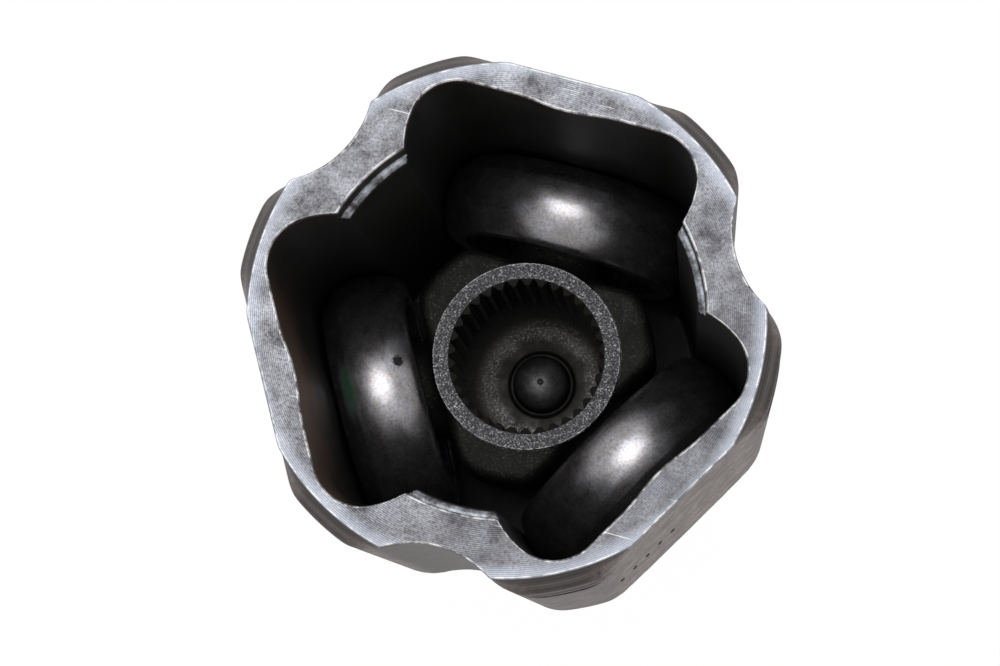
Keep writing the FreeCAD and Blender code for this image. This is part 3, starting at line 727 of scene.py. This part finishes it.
def track_radius(angle):
    """Roof, round corner and flank of a track, read as a radius at each angle. The roof
    bulges inwards in its middle by the square of a sine. The flank is an arc that fits the
    roller's crown, and the corner meets it 6.8 degrees above its middle."""
    roof_half, roof_middle, bulge, bulge_half = 16.29, 35.42, 0.73, 9.0
    corner_middle, corner_radius = (roof_half, 28.15), 8.0
    flank_middle, flank_radius, meeting = (8.35, ball_circle), 16.0, 6.8
    roof_x = np.linspace(0, roof_half, 60)
    rise = np.sin(math.pi / 2 * np.minimum(roof_x / bulge_half, 1)) ** 2
    roof_y = roof_middle + bulge * rise
    corner = arc_points(corner_middle, corner_radius, 90, meeting, 40)
    flank = arc_points(flank_middle, flank_radius, meeting, -55, 80)
    outline = np.vstack([np.column_stack([roof_x, roof_y]), corner[1:], flank[1:]])
    around = np.arctan2(outline[:, 0], outline[:, 1])
    return np.interp(angle, around, np.hypot(outline[:, 0], outline[:, 1]))


rib_bore = 31.2      # inside of a rib, between two tracks
shell_outside = outer_radius(from_lobe)
shell_inside = soft_max(track_radius(from_lobe), rib_bore, 0.5)
print("outside", shell_outside.min().round(2), "to", shell_outside.max().round(2), "mm,",
      "inside", shell_inside.min().round(2), "to", shell_inside.max().round(2), "mm")

# %% [markdown]
# ### Rows of the bell
#
# Outside, a turned section cuts the lobes back wherever it lies inside them: the sloping back,
# the seat for the boot and the bevel at the mouth. Inside, the mouth is bored out a little, and
# that bore leaves a narrow ledge on each rib.

# %% Outside rows of the bell
beyond_lobes = 46.6  # a turned section this far out leaves the forging as it is
seat_radius = 45.2   # corners of the lobes, turned for the boot
rim_bevel = 42.45    # where the bevel at the mouth ends
back_arc = arc_points((36.7, 15.4), 9.0, -94, -3, 9)
back_section = np.vstack([
    eased([[0, 0], [19.5, 0], [22.5, 2.0], [36.0, 6.3], back_arc[1]], 0.6),
    back_arc[2:], [[beyond_lobes, 16.5]]])
plain_wall = np.column_stack([np.full(7, beyond_lobes), np.linspace(22, 90, 7)])
clamp_hollow = np.column_stack([seat_radius - 1.2 * np.sin(np.linspace(0, math.pi, 11)),
                                np.linspace(95.0, 103.4, 11)])
seat_corners = np.vstack([
    [[beyond_lobes, 92.4], [beyond_lobes, 92.6], [44.4, 92.6], [44.4, 93.8], [seat_radius, 93.8]],
    clamp_hollow, [[seat_radius, 104.6], [rim_bevel, mouth_z], [42.0, mouth_z + 0.6]]])
seat_cut = np.full(len(seat_corners), 0.16)
seat_cut[6:15] = 0   # inside the clamp's hollow the points already lie on a smooth curve
seat_section = eased(seat_corners, seat_cut)[:-1]
below_rim = seat_section[:, 1] < mouth_z - 0.25
outside_section = np.vstack([back_section, plain_wall, seat_section[below_rim]])
outside_radius = soft_min(shell_outside[None], outside_section[:, :1], 0.25)
under_back = outside_section[:, 0] < 30   # near the axis the back is a plain disc
outside_radius[under_back] = outside_section[under_back][:, :1]
outside_height = outside_section[:, 1:]
print(len(outside_section), "rows outside")

# %% Inside rows of the bell
mouth_bore = 32.75   # bored a little wider than the ribs, 4 mm deep
edge = 0.22          # break of both lips
inside_section = np.vstack([
    [[mouth_bore, mouth_z - edge], [mouth_bore, mouth_z - 2.0]],
    eased([[mouth_bore, mouth_z - 3.0], [mouth_bore, mouth_z - 4.0],
           [32.2, mouth_z - 4.0], [31.55, mouth_z - 4.25],
           [rib_bore, mouth_z - 5.0], [rib_bore, mouth_z - 7.0]], 0.2),
    np.column_stack([np.full(8, rib_bore), np.linspace(mouth_z - 12, floor_z + 1.2, 8)])])
inside_radius = soft_max(shell_inside[None], inside_section[:, :1], 0.12)
print(len(inside_section), "rows inside")

# %% [markdown]
# ### Rim and floor
#
# Each lip is three rows that turn over its broken edge. The table's first column is the share of
# the break that is left, and its second is how far the row lies below the rim. The rim between
# the lips is plain. At the bottom a fillet runs into the floor, which has a dish and, in the
# middle of it, a domed boss.

# %% Rim rows of the bell
turn_over = np.array([[1.0, edge], [0.3, 0.3 * edge], [0.0, 0.0]])
lip_out = soft_min(shell_outside, rim_bevel + 0.15, 0.25)
lip_in = soft_max(shell_inside, mouth_bore, 0.12)
outer_lip = lip_out[None] - edge * (1 - turn_over[:, :1])
inner_lip = lip_in[None] + edge * (1 - turn_over[::-1, :1])
share = np.array([0.0, 0.25, 0.5, 0.75, 1.0])[:, None]
rim_rows = (outer_lip[-1] - 0.3) * (1 - share) + (lip_in + edge + 0.3) * share
print("rim", (lip_out - lip_in).min().round(2), "to", (lip_out - lip_in).max().round(2), "mm wide")

# %% Floor rows of the bell
fillet_size, dish_edge = 1.2, 21.0
fillet = arc_points((0, 0), fillet_size, 0, 90, 5)[1:]
fillet_radius = shell_inside[None] - fillet_size + fillet[:, :1]
fillet_height = floor_z + fillet_size - fillet[:, 1:]
plain = np.array([0.4, 0.75])[:, None]
plain_radius = fillet_radius[-1] * (1 - plain) + dish_edge * plain
dome_cap = arc_points((0, floor_z + 3 - 10.05), 10.05, 90 - 32.76, 90 - 6, 10)
dish_corners = np.vstack([
    [[20.6, floor_z], [11.6, floor_z - 2.5], [6.84, floor_z - 2.5], [6.2, floor_z - 2.95],
     [5.6, floor_z - 2.9], [5.44, floor_z - 2.2], [5.44, floor_z + 1.0]],
    dome_cap, [[0.55, floor_z + 2.94], [0.0, floor_z + 2.5]]])
dish_cut = np.full(len(dish_corners), 0.4)
dish_cut[8:17] = 0   # on the dome the points already lie on a smooth curve
dish_section = eased(dish_corners, dish_cut)
print(len(dish_section), "rows in the dish and the boss")

# %% [markdown]
# ### One skin from all the rows
#
# Every row brings its radius, its height and its zone, and a zone is the number of a finish.
# The ledge's rows are ledge only where the bore cuts into a rib. Beside them they are track.
# Three more numbers at each vertex tell the finishes how deep the steel is turned, where a lip
# is worn bright and where shade is painted into the hollows between the lobes.

# %% Skin of the bell
OUTSIDE, RIM, TRACK, FLOOR, LEDGE = range(5)
bell_rows = [
    (outside_radius, outside_height, OUTSIDE),
    (outer_lip[:1], mouth_z - turn_over[:1, 1:], OUTSIDE),
    (outer_lip[1:], mouth_z - turn_over[1:, 1:], RIM),
    (rim_rows, mouth_z, RIM),
    (inner_lip, mouth_z - turn_over[::-1, 1:], RIM),
    (inside_radius[1:4], inside_section[1:4, 1:], TRACK),
    (inside_radius[4:15], inside_section[4:15, 1:], LEDGE),
    (inside_radius[15:], inside_section[15:, 1:], TRACK),
    (fillet_radius, fillet_height, TRACK),
    (plain_radius, floor_z, FLOOR),
    (dish_section[:, :1], dish_section[:, 1:], FLOOR),
]
across_columns = np.zeros((1, len(bell_angle)))
bell_radius = np.vstack([radius + across_columns for radius, height, zone in bell_rows])
bell_height = np.vstack([height + 0 * radius + across_columns
                         for radius, height, zone in bell_rows])
row_zone = np.concatenate([np.full(len(radius), zone) for radius, height, zone in bell_rows])
zones = np.repeat(row_zone[1:, None], len(bell_angle), axis=1)
middle_radius = (bell_radius[1:] + bell_radius[:-1]) / 2
cut_into_rib = middle_radius > shell_inside[None] + 0.06
zones[(zones == LEDGE) & ~cut_into_rib] = TRACK
print(int((zones == LEDGE).sum()), "faces on the three ledges")

# %% Marks and mesh of the bell
fully_turned, seat_bottom = 0.35, 92.5   # depth of cut that hides all forging, and where it starts
turned_depth = np.clip((shell_outside[None] - bell_radius) / fully_turned, 0, 1)
turned_depth *= bell_height > seat_bottom
is_lip = [np.full(len(rows[0]), number in (2, 4))   # the rim's rows on both sides of rim_rows
          for number, rows in enumerate(bell_rows)]
worn_edge = np.zeros(bell_radius.shape)
worn_edge[np.concatenate(is_lip)] = 1.0
from_rib = np.degrees(math.pi / 3 - from_lobe)
rib_hollow = np.clip((15.4 - from_rib) / 2, 0, 1) + 0 * bell_radius   # fades over 2 degrees
bell = make_skin("bell", grid_points(bell_radius, bell_height, bell_angle),
                 [outside_skin, faced_steel, oily_black, stained_floor, ledge_steel], zones,
                 marks={"turned_depth": turned_depth, "worn_edge": worn_edge,
                        "rib_hollow": rib_hollow})
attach(bell, "housing")
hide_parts("tulip_housing")

# %% [markdown]
# ## Finish: ground and rolled steel of the stub
#
# The stub shaft is turned, its seal journal is ground, and its spline is rolled. Grinding leaves
# very fine rings and a clean bright grey. The rest is a little darker, with a phosphate bloom.

# %% Stub steel
stub_steel, tree, place = new_finish("ground and phosphated steel")
rings = add_node(tree, "TexWave", {"Vector": place, "Scale": rings_per_mm(0.45), "Distortion": 1.5,
                                   "Detail": 2.0, "Detail Scale": 0.4},
                 wave_type="BANDS", bands_direction="Z")
bloom_and_green_glint = add_node(tree, "TexNoise", {"Vector": place, "Scale": per_mm(1.8), "Detail": 6.0,
                                    "Roughness": 0.62})
bloom_tone = add_node(tree, "ValToRGB", {"Fac": bloom_and_green_glint.outputs["Fac"]})
set_ramp(bloom_tone, (0.34, "#747375"), (0.52, "#868689"), (0.70, "#9b9ca0"))
ring_shade = add_node(tree, "ValToRGB", {"Fac": rings.outputs["Fac"]})
set_ramp(ring_shade, (0.0, "#cfcfcf"), (1.0, "#ffffff"))
stub_tone = add_node(tree, "Mix", {0: 1.0, 6: bloom_tone.outputs[0], 7: ring_shade.outputs[0]},
                     data_type="RGBA", blend_type="MULTIPLY")
lay_on(stub_steel, tree, relief=rings.outputs["Fac"], strength=0.15, depth=0.04, surface={
    "Base Color": stub_tone.outputs[2], "Metallic": 0.9, "Roughness": 0.36})

# %% [markdown]
# ## The stub shaft
#
# The stub carries the joint in the gearbox: a plain journal, a spline of 27 teeth and a groove
# for a circlip. The teeth are one outline read at every angle, and a sloping limit at each end
# trims them to a lead-in, as a chamfering tool would.

# %% Stub shaft
stub_tooth_count, stub_root, stub_tip, journal = 27, 12.85, 14.2, 17.5
stub_angle = np.linspace(0, math.tau, stub_tooth_count * 20, endpoint=False)
stub_teeth = toothed(stub_angle, stub_tooth_count, 0.0, (stub_root, 0.64), (stub_tip, 0.36))
stub_low = eased([[0, -64.66], [3, -69.76], [11.35, -69.76], [stub_root, -68.26],
                  [stub_root, -66.76], [11.65, -66.76], [11.65, -65.0], [stub_root, -65.0],
                  [stub_root, -62.0]], 0.15)
lead = np.array([[stub_root, -61.95], [13.2, -61.6], [13.7, -61.1], [stub_tip, -60.6],
                 [14.3, -60.0], [14.3, -44.0], [14.3, -28.0], [stub_tip, -27.4],
                 [13.7, -26.9], [13.2, -26.4], [stub_root, -26.05]])
stub_high = eased([[stub_root, -26.0], [stub_root, -22.0], [16.5, -22.0], [journal, -21.0],
                   [journal, 0.0], [0.0, 0.0]], 0.3)
stub_radius = np.vstack([stub_low[:, :1] + 0 * stub_teeth, np.minimum(lead[:, :1], stub_teeth),
                         stub_high[:, :1] + 0 * stub_teeth])
stub_height = np.concatenate([stub_low[:, 1], lead[:, 1], stub_high[:, 1]])[:, None]
stub = make_skin("stub_shaft_skin", grid_points(stub_radius, stub_height, stub_angle),
                 [stub_steel])
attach(stub, "housing")
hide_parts("stub_shaft")

# %% [markdown]
# ## Finish: the shot-blasted spider
#
# The spider's core is forged and then cleaned with steel shot, which leaves an even, grainy,
# dark grey surface. Grains of about 0.4 mm are drawn both as relief and as a change of tone, so
# that the surface sparkles a little where light skims it.

# %% Shot-blasted forging
blasted, tree, place = new_finish("shot-blasted forging")
shot = add_node(tree, "TexNoise", {"Vector": place, "Scale": per_mm(0.42), "Detail": 4.0,
                                   "Roughness": 0.7})
shot_tone = add_node(tree, "ValToRGB", {"Fac": shot.outputs["Fac"]})
set_ramp(shot_tone, (0.36, "#151412"), (0.55, "#292826"), (0.64, "#434240"), (0.70, "#86857f"))
cloud = add_node(tree, "TexNoise", {"Vector": place, "Scale": per_mm(6.0), "Detail": 4.0})
cloud_tone = add_node(tree, "ValToRGB", {"Fac": cloud.outputs["Fac"]})
set_ramp(cloud_tone, (0.35, "#9a9894"), (0.65, "#ffffff"))
core_tone = add_node(tree, "Mix", {0: 1.0, 6: shot_tone.outputs[0], 7: cloud_tone.outputs[0]},
                     data_type="RGBA", blend_type="MULTIPLY")
lay_on(blasted, tree, relief=shot.outputs["Fac"], strength=0.8, depth=0.25, surface={
    "Base Color": core_tone.outputs[2], "Metallic": 0.6, "Roughness": 0.5})

# %% [markdown]
# ## Finish: the hub's face
#
# The hub's face is turned and then blasted with the rest, so it is brighter than the core and
# full of tiny glints. Sharp steps in a fine noise make the glints, pale on mid grey.

# %% Hub face
hub_face, tree, place = new_finish("turned and blasted steel")
specks = add_node(tree, "TexNoise", {"Vector": place, "Scale": per_mm(0.32), "Detail": 3.0,
                                     "Roughness": 0.75})
speck_tone = add_node(tree, "ValToRGB", {"Fac": specks.outputs["Fac"]})
set_ramp(speck_tone, (0.36, "#2e2e2f"), (0.50, "#4d4d4f"), (0.57, "#69696c"), (0.63, "#a5a6a9"),
         (0.70, "#f4f4f4"))
worn = add_node(tree, "Attribute", attribute_name="worn_edge").outputs["Fac"]
glints = add_node(tree, "MapRange", {"Value": specks.outputs["Fac"], "From Min": 0.42,
                                     "From Max": 0.55, "To Max": 0.8})
edge_mask = add_node(tree, "Math", {0: worn, 1: glints.outputs[0]}, operation="MULTIPLY")
edged = add_node(tree, "Mix", {0: edge_mask.outputs[0], 6: speck_tone.outputs[0],
                               7: linear("#dcdcdc")}, data_type="RGBA")
lay_on(hub_face, tree, relief=specks.outputs["Fac"], strength=0.8, depth=0.2, surface={
    "Base Color": edged.outputs[2], "Metallic": 0.85, "Roughness": 0.42})

# %% [markdown]
# ## Finish: the broached spline
#
# The spline's teeth were cut by a broach and hold dark oil between them; the dark down the bore
# is partly painted shade. Their bevelled ends are painted lighter, as small grey wedges: a painted
# highlight. One finish does both: dark, mostly metal and fairly glossy.

# %% Broached spline
broached, tree, place = new_finish("broached steel with oil and painted shade")
oil = add_node(tree, "TexNoise", {"Vector": place, "Scale": per_mm(1.5), "Detail": 5.0,
                                  "Roughness": 0.65})
# Dark down the bore: oil, and partly painted shade.
oil_and_shade_tone = add_node(tree, "ValToRGB", {"Fac": oil.outputs["Fac"]})
set_ramp(oil_and_shade_tone, (0.36, "#161514"), (0.55, "#282725"), (0.70, "#45433f"))
parts = add_node(tree, "SeparateXYZ", {"Vector": place})
# Lighter at the bevelled ends: a painted highlight.
end_highlight = add_node(tree, "MapRange", {"Value": parts.outputs["Z"],
                                     "From Min": (centre_z + 12.1) * METRES_PER_MM,
                                     "From Max": (centre_z + 12.3) * METRES_PER_MM, "To Max": 0.8})
end_highlight_tone = add_node(tree, "Mix", {0: end_highlight.outputs[0], 6: oil_and_shade_tone.outputs[0],
                                  7: linear("#413f3c")}, data_type="RGBA")
lay_on(broached, tree, relief=oil.outputs["Fac"], strength=0.3, depth=0.1, surface={
    "Base Color": end_highlight_tone.outputs[2], "Metallic": 0.7, "Roughness": 0.42})

# %% [markdown]
# ## The spider's core and hub
#
# The core is a round blank with a flat under each arm, rounded everywhere by the forging die.
# The hub stands one millimetre proud of it at each end. A broach cuts 34 teeth through the
# middle, and a bevel opens the teeth at both faces. Rows run up the outside of the upper half,
# over the hub's face and down the bore, and the lower half is the same rows mirrored.

# %% Outline of the core, and the teeth
hub_tooth_count, hub_turn = 34, 4.55   # one tooth stands 4.55 degrees past lobe 1
across_tooth = np.array([0.0, 0.05, 0.10, 0.15, 0.18, 0.23, 0.28, 0.33, 0.38, 0.43, 0.47])
across_tooth = np.concatenate([-across_tooth[:0:-1], across_tooth, [0.5]])
in_pitches = (np.arange(hub_tooth_count)[:, None] + across_tooth[None]).ravel()
hub_angle = math.radians(90 + hub_turn) + in_pitches * (math.tau / hub_tooth_count)
hub_teeth = toothed(hub_angle, hub_tooth_count, hub_turn, (14.3, 0.94), (13.2, 0.30))
from_lobe_hub = np.abs((hub_angle - math.pi / 2 + THIRD / 2) % THIRD - THIRD / 2)
core_outline = soft_min(17.0 / np.cos(from_lobe_hub), 23.5, 2.2)
print("core", core_outline.min().round(2), "to", core_outline.max().round(2), "mm from the axis")

# %% Rows of the upper half
CORE, FACE, BORE = range(3)
hub_wall, bevel_edge, bevel, face_height = 17.24, 14.38, 0.8, 13.0
turn = np.radians(np.linspace(0, 90, 7))[:, None]
side = np.vstack([core_outline[None], core_outline[None],
                  core_outline - 2.4 * (1 - np.cos(turn))])
side = soft_max(side, hub_wall, 0.4)
side_height = np.concatenate([[0.0, 5.0], 9.6 + 2.4 * np.sin(turn[:, 0])])
face_section = eased([[17.4, 12.0], [hub_wall, 12.0], [hub_wall, face_height],
                      [16.85, face_height], [15.6, face_height], [bevel_edge, face_height],
                      [14.36, 12.98]], 0.14)
bevel_depth = np.linspace(0.06, bevel, 8)
bevel_limit = bevel_edge - 1.18 / bevel * bevel_depth[:, None]
bore_height = np.array([11.9, 8.0, 4.0, 0.0])
upper_radius = np.vstack([side, face_section[:, :1] + 0 * hub_teeth,
                          np.maximum(bevel_limit, hub_teeth),
                          hub_teeth + 0 * bore_height[:, None]])
upper_height = np.concatenate([side_height, face_section[:, 1], face_height - bevel_depth,
                               bore_height])
upper_zone = np.concatenate([np.full(len(side) + 1, CORE),
                             np.full(len(face_section) - 1, FACE),
                             np.full(len(bevel_depth) + len(bore_height), BORE)])
print(len(upper_radius), "rows in the upper half")

# %% Core and hub
hub_radius = np.vstack([upper_radius, upper_radius[-2:0:-1]])
hub_height = centre_z + np.concatenate([upper_height, -upper_height[-2:0:-1]])[:, None]
hub_zone = np.concatenate([upper_zone[1:], upper_zone[:0:-1]])
hub_worn = (hub_radius > 17.05) & (np.abs(hub_height - centre_z) > 12.8)
core = make_skin("spider_core", grid_points(hub_radius, hub_height, hub_angle),
                 [blasted, hub_face, broached],
                 np.repeat(hub_zone[:, None], len(hub_angle), axis=1),
                 loop=True, marks={"worn_edge": hub_worn}, sharp=35)
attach(core, "spider")
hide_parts("spider")

# %% [markdown]
# ## The three trunnions
#
# Each arm of the spider ends in a ground ball, cut flat at its tip, on a short neck that flows
# into the core. They are turned shapes, so each is one section swept round the arm's axis. The
# balls are hidden in the cassettes, so they keep the core's finish.

# %% Trunnions
arm_angle = np.linspace(0, math.tau, 96, endpoint=False)
ball_radius = 11.7
neck_round = arc_points((12.0, -7.2), 3.0, 262, 180, 9)
ball_round = arc_points((0, 0), ball_radius, -38, 25, 24)
arm_section = np.vstack([[[0, -12.2], [9.4, -12.2]], neck_round, ball_round,
                         eased([ball_round[-1] + [-0.05, 0.05], [9.47, 5.6], [0, 5.6]], 0.2)[1:]])
arm = grid_points(arm_section[:, :1], arm_section[:, 1:], arm_angle)
for lobe in range(3):
    trunnion = make_skin(f"trunnion_{lobe + 1}", onto_trunnion(arm, lobe), [blasted])
    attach(trunnion, "spider")

# %% [markdown]
# ## Finish: the polished rollers
#
# The rollers are bearing steel, hardened, ground and polished, and then run in oil. They are
# dark mirrors: black where they face the tracks, and white where they face the mouth. Scuffs of
# about half a millimetre and oily smears break up every reflection. The pattern follows the
# roller's own coordinates, kept in an attribute of the mesh, so that it turns with the roller.
# Real scuffs are finer than that, and these are as coarse as they need to be to show.

# %% Polished rollers: smears and scuffs
polished, tree, place = new_finish("polished bearing steel")
own = add_node(tree, "Attribute", attribute_name="own_place").outputs["Vector"]
smear_place = add_node(tree, "Mapping", {"Vector": own, "Scale": (1, 1, 1.6)})
smear = add_node(tree, "TexNoise", {"Vector": smear_place.outputs[0], "Scale": per_mm(4.0),
                                    "Detail": 7.0, "Roughness": 0.65})
smear_gloss = add_node(tree, "MapRange", {"Value": smear.outputs["Fac"], "From Min": 0.35,
                                          "From Max": 0.7, "To Min": 0.27, "To Max": 0.36})
tint = add_node(tree, "ValToRGB", {"Fac": smear.outputs["Fac"]})
set_ramp(tint, (0.35, "#8a8582"), (0.55, "#999798"), (0.70, "#a8a9ae"))
scuffs = add_node(tree, "TexNoise", {"Vector": own, "Scale": per_mm(0.45), "Detail": 5.0,
                                     "Roughness": 0.75})
scuff_tone = add_node(tree, "ValToRGB", {"Fac": scuffs.outputs["Fac"]})
set_ramp(scuff_tone, (0.36, "#c3c3cc"), (0.50, "#ececf0"), (0.62, "#ffffff"))
scuffed = add_node(tree, "Mix", {0: 1.0, 6: tint.outputs[0], 7: scuff_tone.outputs[0]},
                   data_type="RGBA", blend_type="MULTIPLY")
print("smears of 4 mm and scuffs of 0.45 mm")

# %% [markdown]
# ### Pits and a chip
#
# Pits are the deepest dips of a fine noise. The chip is on the crown of roller 2 only. Each
# roller's own coordinates are shifted 60 mm from the last one's, so a place names one roller.

# %% Polished rollers: pits and a chip
between_rollers = 60.0
pits = add_node(tree, "TexNoise", {"Vector": own, "Scale": per_mm(0.5), "Detail": 2.0})
pit_mask = add_node(tree, "MapRange", {"Value": pits.outputs["Fac"], "From Min": 0.22,
                                       "From Max": 0.29, "To Min": 0.8, "To Max": 0.0})
pitted = add_node(tree, "Mix", {0: pit_mask.outputs[0], 6: scuffed.outputs[2],
                                7: linear("#3a3837")}, data_type="RGBA")
chip_spot = tuple(METRES_PER_MM * value for value in (between_rollers + 3.6, -22.7, -5.0))
chip_gap = add_node(tree, "VectorMath", {0: own, 1: chip_spot}, operation="DISTANCE")
chip_edge = add_node(tree, "Math", {0: pits.outputs["Fac"], 1: -1.6 * METRES_PER_MM,
                                    2: chip_gap.outputs["Value"]}, operation="MULTIPLY_ADD")
chip_mask = add_node(tree, "MapRange", {"Value": chip_edge.outputs[0], "From Min": 0.0,
                                        "From Max": 0.4 * METRES_PER_MM,
                                        "To Min": 1.0, "To Max": 0.0})
chipped = add_node(tree, "Mix", {0: chip_mask.outputs[0], 6: pitted.outputs[2],
                                 7: linear("#0f0d0c")}, data_type="RGBA")
print("chip at", np.round(chip_spot, 4), "m in the rollers' own coordinates")

# %% [markdown]
# ### A painted green glint
#
# A faint green glint is painted on the outboard bevel of roller 2: a painted reflection. It is
# where two masks meet: a band along the bevel, and a ragged patch round one spot. It is less of a
# metal than the steel under it, so the same mask lowers the metal's share.

# %% Polished rollers: painted green glint
parts = add_node(tree, "SeparateXYZ", {"Vector": own})
up_bevel = add_node(tree, "MapRange", {"Value": parts.outputs["Z"],
                                       "From Max": 8 * METRES_PER_MM})
bevel_mask = add_node(tree, "ValToRGB", {"Fac": up_bevel.outputs[0]})
set_ramp(bevel_mask, (0.42, "#000000"), (0.52, "#ffffff"), (0.66, "#ffffff"), (0.80, "#000000"))
green_glint_spot = tuple(METRES_PER_MM * value for value in (between_rollers + 1.0, -22.0, 5.6))
green_glint_gap = add_node(tree, "VectorMath", {0: own, 1: green_glint_spot}, operation="DISTANCE")
patch = add_node(tree, "TexNoise", {"Vector": own, "Scale": per_mm(2.0), "Detail": 4.0})
patch_edge = add_node(tree, "Math", {0: patch.outputs["Fac"], 1: -8 * METRES_PER_MM,
                                     2: green_glint_gap.outputs["Value"]}, operation="MULTIPLY_ADD")
patch_mask = add_node(tree, "MapRange", {"Value": patch_edge.outputs[0],
                                         "From Min": -3 * METRES_PER_MM,
                                         "From Max": 3 * METRES_PER_MM,
                                         "To Min": 0.85, "To Max": 0.0})
bloom_and_green_glint = add_node(tree, "Math", {0: bevel_mask.outputs[0], 1: patch_mask.outputs[0]},
                 operation="MULTIPLY")
# Green on one spot of the bevel: a painted reflection.
green_glint_painted = add_node(tree, "Mix", {0: bloom_and_green_glint.outputs[0], 6: chipped.outputs[2],
                                 7: linear("#1c6a42")}, data_type="RGBA")
metal_share = add_node(tree, "MapRange", {"Value": bloom_and_green_glint.outputs[0], "To Min": 0.96,
                                          "To Max": 0.4})
lay_on(polished, tree, relief=scuffs.outputs["Fac"], strength=0.06, depth=0.05, surface={
    "Base Color": green_glint_painted.outputs[2], "Metallic": metal_share.outputs[0],
    "Roughness": smear_gloss.outputs[0], "Coat Weight": 0.4, "Coat Roughness": 0.12})

# %% [markdown]
# ## The outer rollers
#
# Each roller is a ring with a crowned outside that matches the flanks of its track, a bevel at
# its outboard end, and two grooves inside for the snap rings that hold the needles. The section
# is a closed outline, and the grid joins up both ways, so the skin has no open edge.

# %% Outer rollers
roller_angle = np.linspace(0, math.tau, 192, endpoint=False)
crown_middle, crown_radius = 9.9, 14.0
crown_z = np.linspace(-7.3, 4.4, 30)
crown = np.column_stack([crown_middle + np.sqrt(crown_radius ** 2 - crown_z ** 2), crown_z])
race, groove = 18.29, 19.19
ends = eased([crown[-1], [20.19, 7.7], [race, 7.7], [race, 7.08], [groove, 7.08], [groove, 6.02],
              [race, 6.02], [race, -6.02], [groove, -6.02], [groove, -7.08], [race, -7.08],
              [race, -7.7], [crown[0, 0] - 0.4, -7.7], crown[0]],
             [0, 0.3, 0.1, 0.05, 0.05, 0.05, 0.05, 0.05, 0.05, 0.05, 0.05, 0.1, 0.15, 0])
roller_section = np.vstack([crown, ends[1:-1]])
ring = grid_points(roller_section[:, :1], roller_section[:, 1:], roller_angle)
for lobe in range(3):
    own_place = (ring + [between_rollers * lobe, 0, 0]) * METRES_PER_MM
    roller = make_skin(f"roller_{lobe + 1}", onto_trunnion(ring, lobe), [polished], loop=True,
                       marks={"own_place": own_place}, sharp=30)
    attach(roller, f"roller_{lobe + 1}")
    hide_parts(f"outer_roller_{lobe + 1}")

# %% [markdown]
# ## Finishes of the small bearing parts
#
# Inner rings, needles and washers are ground steel, a plain bright grey with a fine, faint
# mottle. Snap rings and the circlip are spring steel, tempered to a dark blue-grey. Their CAD
# shapes are right already, so they only need their metals.

# %% Ground bearing parts
ground_steel, tree, place = new_finish("ground bearing steel")
lay = add_node(tree, "TexNoise", {"Vector": place, "Scale": per_mm(0.6), "Detail": 4.0,
                                  "Roughness": 0.6})
lay_tone = add_node(tree, "ValToRGB", {"Fac": lay.outputs["Fac"]})
set_ramp(lay_tone, (0.35, "#8b8b8d"), (0.65, "#c3c4c8"))
lay_on(ground_steel, tree, relief=lay.outputs["Fac"], strength=0.1, depth=0.03, surface={
    "Base Color": lay_tone.outputs[0], "Metallic": 1.0, "Roughness": 0.24})

# %% Spring steel
blued_steel, tree, place = new_finish("blued spring steel")
temper = add_node(tree, "TexNoise", {"Vector": place, "Scale": per_mm(2.0), "Detail": 4.0})
temper_tone = add_node(tree, "ValToRGB", {"Fac": temper.outputs["Fac"]})
set_ramp(temper_tone, (0.35, "#3a3b42"), (0.65, "#5b5e69"))
lay_on(blued_steel, tree, relief=temper.outputs["Fac"], strength=0.15, depth=0.05, surface={
    "Base Color": temper_tone.outputs[0], "Metallic": 0.9, "Roughness": 0.35})

# %% Give the CAD parts their metals
ground_parts = ("inner_ring", "needle_rollers", "inboard_washer", "outboard_washer")
spring_parts = ("inboard_snap_ring", "outboard_snap_ring", "stub_circlip")
for name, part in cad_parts.items():
    if name.startswith(ground_parts + spring_parts):
        metal = ground_steel if name.startswith(ground_parts) else blued_steel
        part.data.materials.clear()
        part.data.materials.append(metal)
print("small parts finished")

# %% [markdown]
# ## Sizes, and the end
#
# The last cell compares the CAD model's box with this scene's box and prints the largest
# difference.

# %% Sizes and finish
bpy.context.view_layer.update()
scene_box = [list(corner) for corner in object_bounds()]
difference = float(np.abs(np.array(cad_box) - scene_box).max()) / METRES_PER_MM
print("largest difference", round(difference, 2), "mm")
